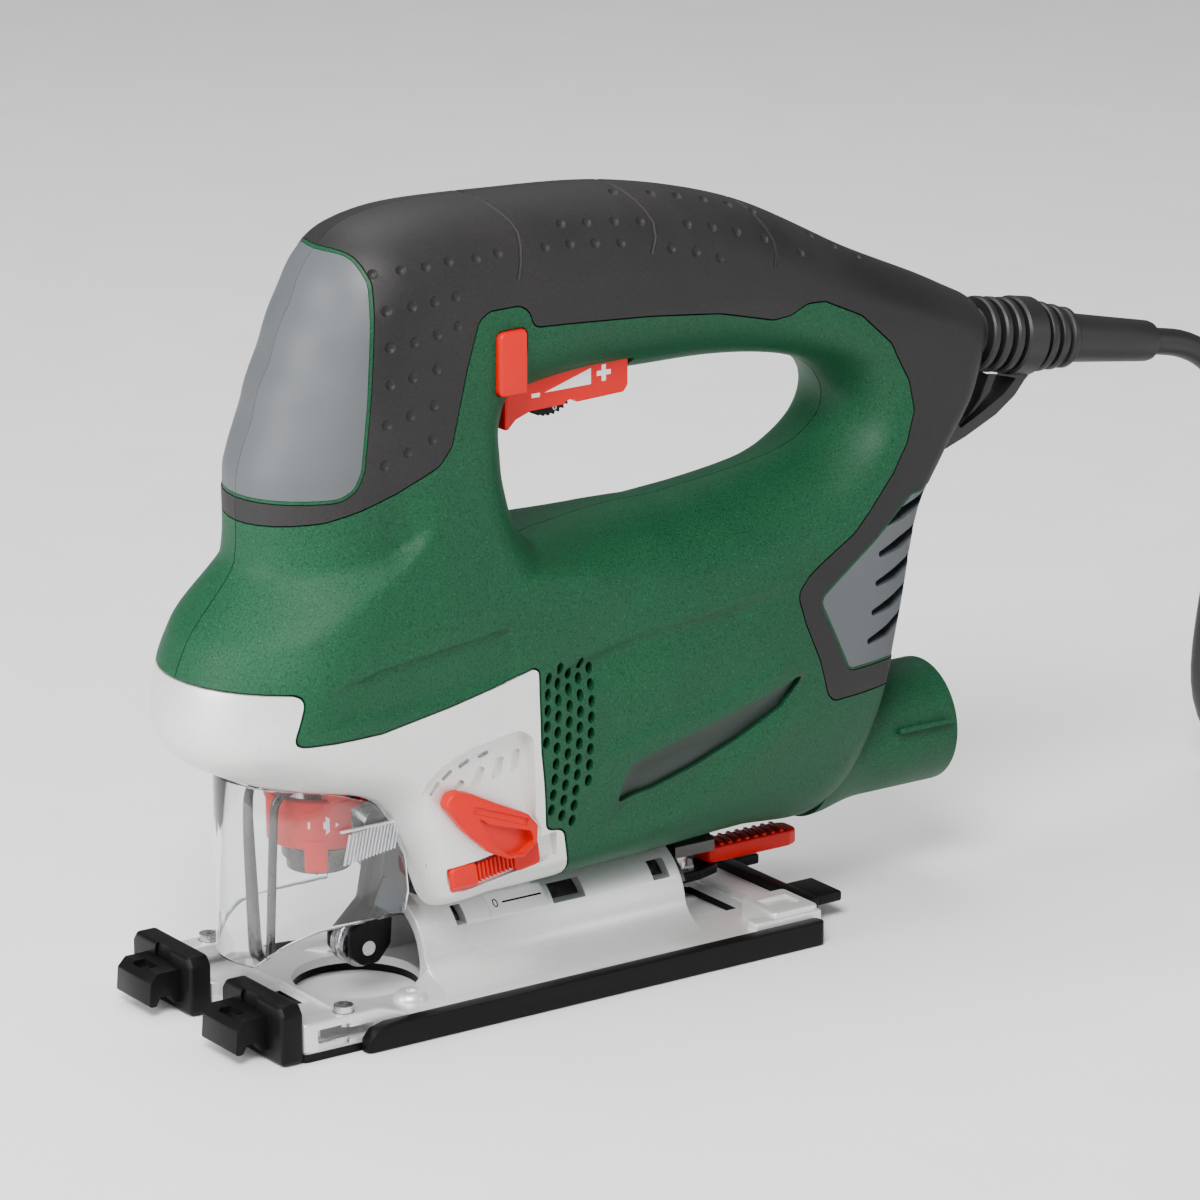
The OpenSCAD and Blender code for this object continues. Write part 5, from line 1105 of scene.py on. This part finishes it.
def hoodPlan(radius, back):  # flat-fronted bow with two soft corners
    bow = [(hood["centre"] + radius * math.cos(math.radians(d)), radius * math.sin(math.radians(d)))
           for d in range(90, 271, 6)]
    return bow + [(back, -radius), (back, radius)]


rise = math.sqrt(2) * hood["clearOf"] - (math.sqrt(2) - 1) * axisHigh + hood["spare"]  # the sole at full tilt
aboveShoe = plate([(0, rise), (40, 40 + rise), (40, 100), (-40, 100), (-40, 40 + rise)], -100, 100, "X")
clearShell = boolean(plate(hoodPlan(hood["radius"], -30), 10, 70, "Z"), plate(hood["side"], -30, 30), "INTERSECT")
boolean(clearShell, aboveShoe, "INTERSECT", keep=True)
cut(clearShell, plate(hoodPlan(hood["radius"] - hood["wall"], -28), 5, 80, "Z"))
soften(clearShell, 0.35, 2, 40)
handIn(clearShell, hoodClear, "clearHood", "cover", ["chip_cover"], 30)
teeth = []
for s in (-1, 1):
    y = s * comb["half"]
    for i in range(comb["teeth"]):
        x, up = comb["start"] + i * comb["pitch"], i * comb["climb"]
        tooth = box((x - 0.22, y - 0.45, 43.4 + up), (x + 0.22, y + 0.45, 51.6 + up))
        teeth.append(turned(tooth, comb["lean"], "Y", (x, 0, 47)))
    teeth.append(box((-54.5, y - 0.5, 52.4), (-36.6, y + 0.5, 53)))
# painted highlight: the clear comb teeth take the pale lens finish to show their bright glints
handIn(joined(teeth), paleLensAndGlint, "hoodComb", "cover")
pads = []
for s in (-1, 1):
    y = s * hood["padHalf"]
    pad = boolean(slab(hood["pad"], 1, y - 0.6, y + 0.6, steps=3), aboveShoe, "INTERSECT", keep=True)
    pads.append(soften(pad, 0.3, 2))
handIn(joined(pads), softGrey, "hoodPads", "cover")
bpy.data.objects.remove(aboveShoe)

guard = {"thick": 2.4,
         "knots": [(-58.5, -6.5, 60.75), (-61.5, -6.6, 60.75), (-64.6, -6.7, 60.05), (-66.5, -6.6, 57.15),
                   (-67, -6.5, 51), (-67, -5.2, 36), (-67, -3.6, 19.5), (-67, -2.6, 16.8)]}
knots = guard["knots"] + [(-67, 0, 15.8)] + [(x, -y, z) for x, y, z in reversed(guard["knots"])]
wire = tube(smoothLine(knots, 6), guard["thick"] / 2, 16)
handIn(wire, darkSteel, "guardWire", "housing", ["finger_guard"], 60)
print("hood and guard made")

# blade release collar with its white arrow
release = {"x": -50, "low": 46, "top": 58.5, "outer": 14, "inner": 12, "armTurn": 238, "arrowTurn": 246,
           "arrowHigh": 52.6,
           "arrow": [(-4, -0.9), (0.6, -0.9), (0.6, -2.4), (4, 0), (0.6, 2.4), (0.6, 0.9), (-4, 0.9)]}
x, outer = release["x"], release["outer"]
collar = soften(rod((x, 0, release["low"]), (x, 0, release["top"]), outer, 96), 0.6, 3, 50)
cut(collar, rod((x, 0, 40), (x, 0, 70), release["inner"], 96), box((-48, -20, 40), (-18, 20, 56)),
    box((-70, 3, 40), (-30, 23, 56)))
arm = turned(soften(box((-37.6, -3, 40.5), (-35.2, 3, 48.5)), 0.6, 3), release["armTurn"], "Z", (x, 0, 0))
united(collar, arm, box((-54, -13.6, 57), (-48.5, -9.6, 61.7)))
handIn(collar, redControl, "releaseCollar", "release", ["release_lever"])
points, n = [], len(release["arrow"])
for r in (outer - 0.1, outer + 0.08):
    for u, v in release["arrow"]:
        angle = math.radians(release["arrowTurn"]) + u / outer
        points.append((x + r * math.cos(angle), r * math.sin(angle), release["arrowHigh"] + v))
faces = [tuple(range(n)), tuple(range(2 * n - 1, n - 1, -1))]
faces += [(i, (i + 1) % n, n + (i + 1) % n, n + i) for i in range(n)]
handIn(outward(meshOf("arrow", points, faces)), whitePrint, "releaseArrow", "release")

# roller fork with rounded arms, bored for the two pins
forkShape = {"arm": [(-43, 12), (-40, 9.4), (-35, 9.4), (-31, 14), (-30.5, 22), (-25.5, 38), (-27, 44), (-31, 44.5),
                     (-33, 42), (-36, 26), (-43, 19)],
             "armHalf": 1.5, "apart": 5, "pins": [(-38, 14, 2), (-29, 41, 2.06)], "bridgeLean": 12}
parts = []
for s in (-1, 1):
    y, armHalf = s * forkShape["apart"], forkShape["armHalf"]
    parts.append(soften(slab(forkShape["arm"], 2.4, y - armHalf, y + armHalf), 0.5, 2, 45))
bridge = turned(box((-34.5, -3.6, 24), (-29.5, 3.6, 37)), forkShape["bridgeLean"], "Y", (-34.5, 0, 24))
fork = cut(united(*parts, bridge), *(rod((x, -15, z), (x, 15, z), radius) for x, z, radius in forkShape["pins"]))
handIn(fork, glossBlack, "rollerFork", "fork", ["roller_fork"])
print("blade parts made")

# ribbed boot, strap, tie and plug
boot = {"ribs": 3, "ribPitch": 4.4, "ribRadius": 10.5, "lowRibRadius": 9.8, "ribTaper": 0.6}
profile = [(-8, 0), (-8, 8.4), (-7.6, 8.6), (-4.4, 8.6), (-4, 8.3), (-4, 7.4), (1.6, 7.4)]
for i in range(boot["ribs"]):
    d, r = 2 + boot["ribPitch"] * i, boot["ribRadius"]
    profile += [(d, 7.6), (d + 0.25, r - 0.5), (d + 0.8, r), (d + 2.2, r), (d + 2.75, r - 0.5), (d + 3, 7.8),
                (d + 4.2, 7.6)]
profile += [(14.6, 8), (14.7, 10.4), (15.3, 11.05), (21.5, 11.05), (22.2, 10.4), (22.3, 7.6)]
for i in range(boot["ribs"]):
    d, r = 24 + boot["ribPitch"] * i, boot["lowRibRadius"] - boot["ribTaper"] * i
    profile += [(d - 0.1, 7.1), (d + 0.2, r - 0.4), (d + 0.7, r), (d + 2.1, r), (d + 2.6, r - 0.4), (d + 2.9, 7.1)]
profile += [(38, 6.9), (52, 6.35), (65.4, 5.85), (66.7, 5.5), (67, 4.9), (67, 3.95), (66, 3.95), (66, 0)]
bootPiece = spun(profile, bootRoot, bootWay, 64)
handIn(bootPiece, cordJacket, "cordBoot", "housing", ["cable_boot"], 40)

strapShape = {"half": 4, "outline": [(184.5, 138), (181.5, 135.5), (178, 131.5), (171.5, 127), (161, 122.3),
                                     (154, 119.8), (148, 119.4), (151, 123.8), (155, 124.8), (161, 128),
                                     (165.5, 132.5), (168, 138), (171, 143), (184.5, 143)],
              "slit": [(178.5, 136.6), (174, 132.6), (166, 128.3), (159, 125), (158, 125.9), (164, 129.6),
                       (169, 134), (171, 138.4)]}
strap = soften(slab(strapShape["outline"], 1.6, -strapShape["half"], strapShape["half"], steps=3), 1, 3, 50)
cut(strap, slab(strapShape["slit"], 0.6, -10, 10, steps=3), rod(bootRoot, bootRoot + bootWay * 30, 11.1, 48))
handIn(strap, cordJacket, "keyStrap", "housing", ["key_strap"])

tieShape = {"turn": -40, "inner": 33, "outer": 49, "low": 0.9, "top": 30.9, "thick": 1.5, "bands": 5, "pitch": 1.2}
angle, (cx, cy) = math.radians(tieShape["turn"]), mainsCord["centre"]
out, across = Vector((math.cos(angle), math.sin(angle), 0)), Vector((-math.sin(angle), math.cos(angle), 0))
inner, outer, low, top = (tieShape[k] for k in ("inner", "outer", "low", "top"))
loop = [Vector((cx, cy, p.y)) + out * p.x
        for p in rounded([(inner, low), (inner, top), (outer, top), (outer, low)], 3, 5)]
tie = tube(loop, tieShape["thick"] / 2, 12, closed=True)
bands = [moved(copyOf(tie), across * tieShape["pitch"] * (i - 2)) for i in range(tieShape["bands"])]
bpy.data.objects.remove(tie)
cordTie = handIn(joined(bands), satinBlack, "cordTie", "housing")

plug = {"plan": [(264, 9), (262, 15), (257, 18.5), (236, 18.3), (231, 15), (230, 12)], "high": (0.2, 25.8),
        "gripDepth": 16.6, "pinApart": 9.5, "front": 230,
        "sleeve": [(0, 0), (0, 4.4), (0.6, 4.9), (4, 5.2), (4.2, 4.6), (5.4, 4.6), (5.6, 5.7), (8.6, 6), (8.8, 5.3),
                   (10, 5.4), (10.2, 6.5), (13.4, 7), (13.6, 6.2), (15, 6.4), (15.2, 7.4), (22, 8), (22, 0)],
        "pin": [(-1, 0), (-1, 2.4), (17.6, 2.4), (18.6, 1.8), (19, 0.9), (19, 0)]}
plan = [(x, plugY - y) for x, y in plug["plan"]] + [(x, plugY + y) for x, y in reversed(plug["plan"])]
plugBlock = soften(slab(plan, 4, *plug["high"], "Z"), 3, 4, 45)
cut(plugBlock, *(soften(box((240, plugY + s * plug["gripDepth"], 6), (256, plugY + s * 30, 20)), 1, 3)
                 for s in (-1, 1)))
plugPiece = united(plugBlock, spun(plug["sleeve"], plugAt, (-1, 0, 0)))
handIn(plugPiece, glossBlack, "mainsPlug", "housing", ["plug"])
pins = [spun(plug["pin"], (plug["front"], plugY + s * plug["pinApart"], plugAt[2]), (-1, 0, 0), 32)
        for s in (-1, 1)]
plugPins = handIn(joined(pins), brightSteel, "plugPins", "housing")
print("cord pieces made")
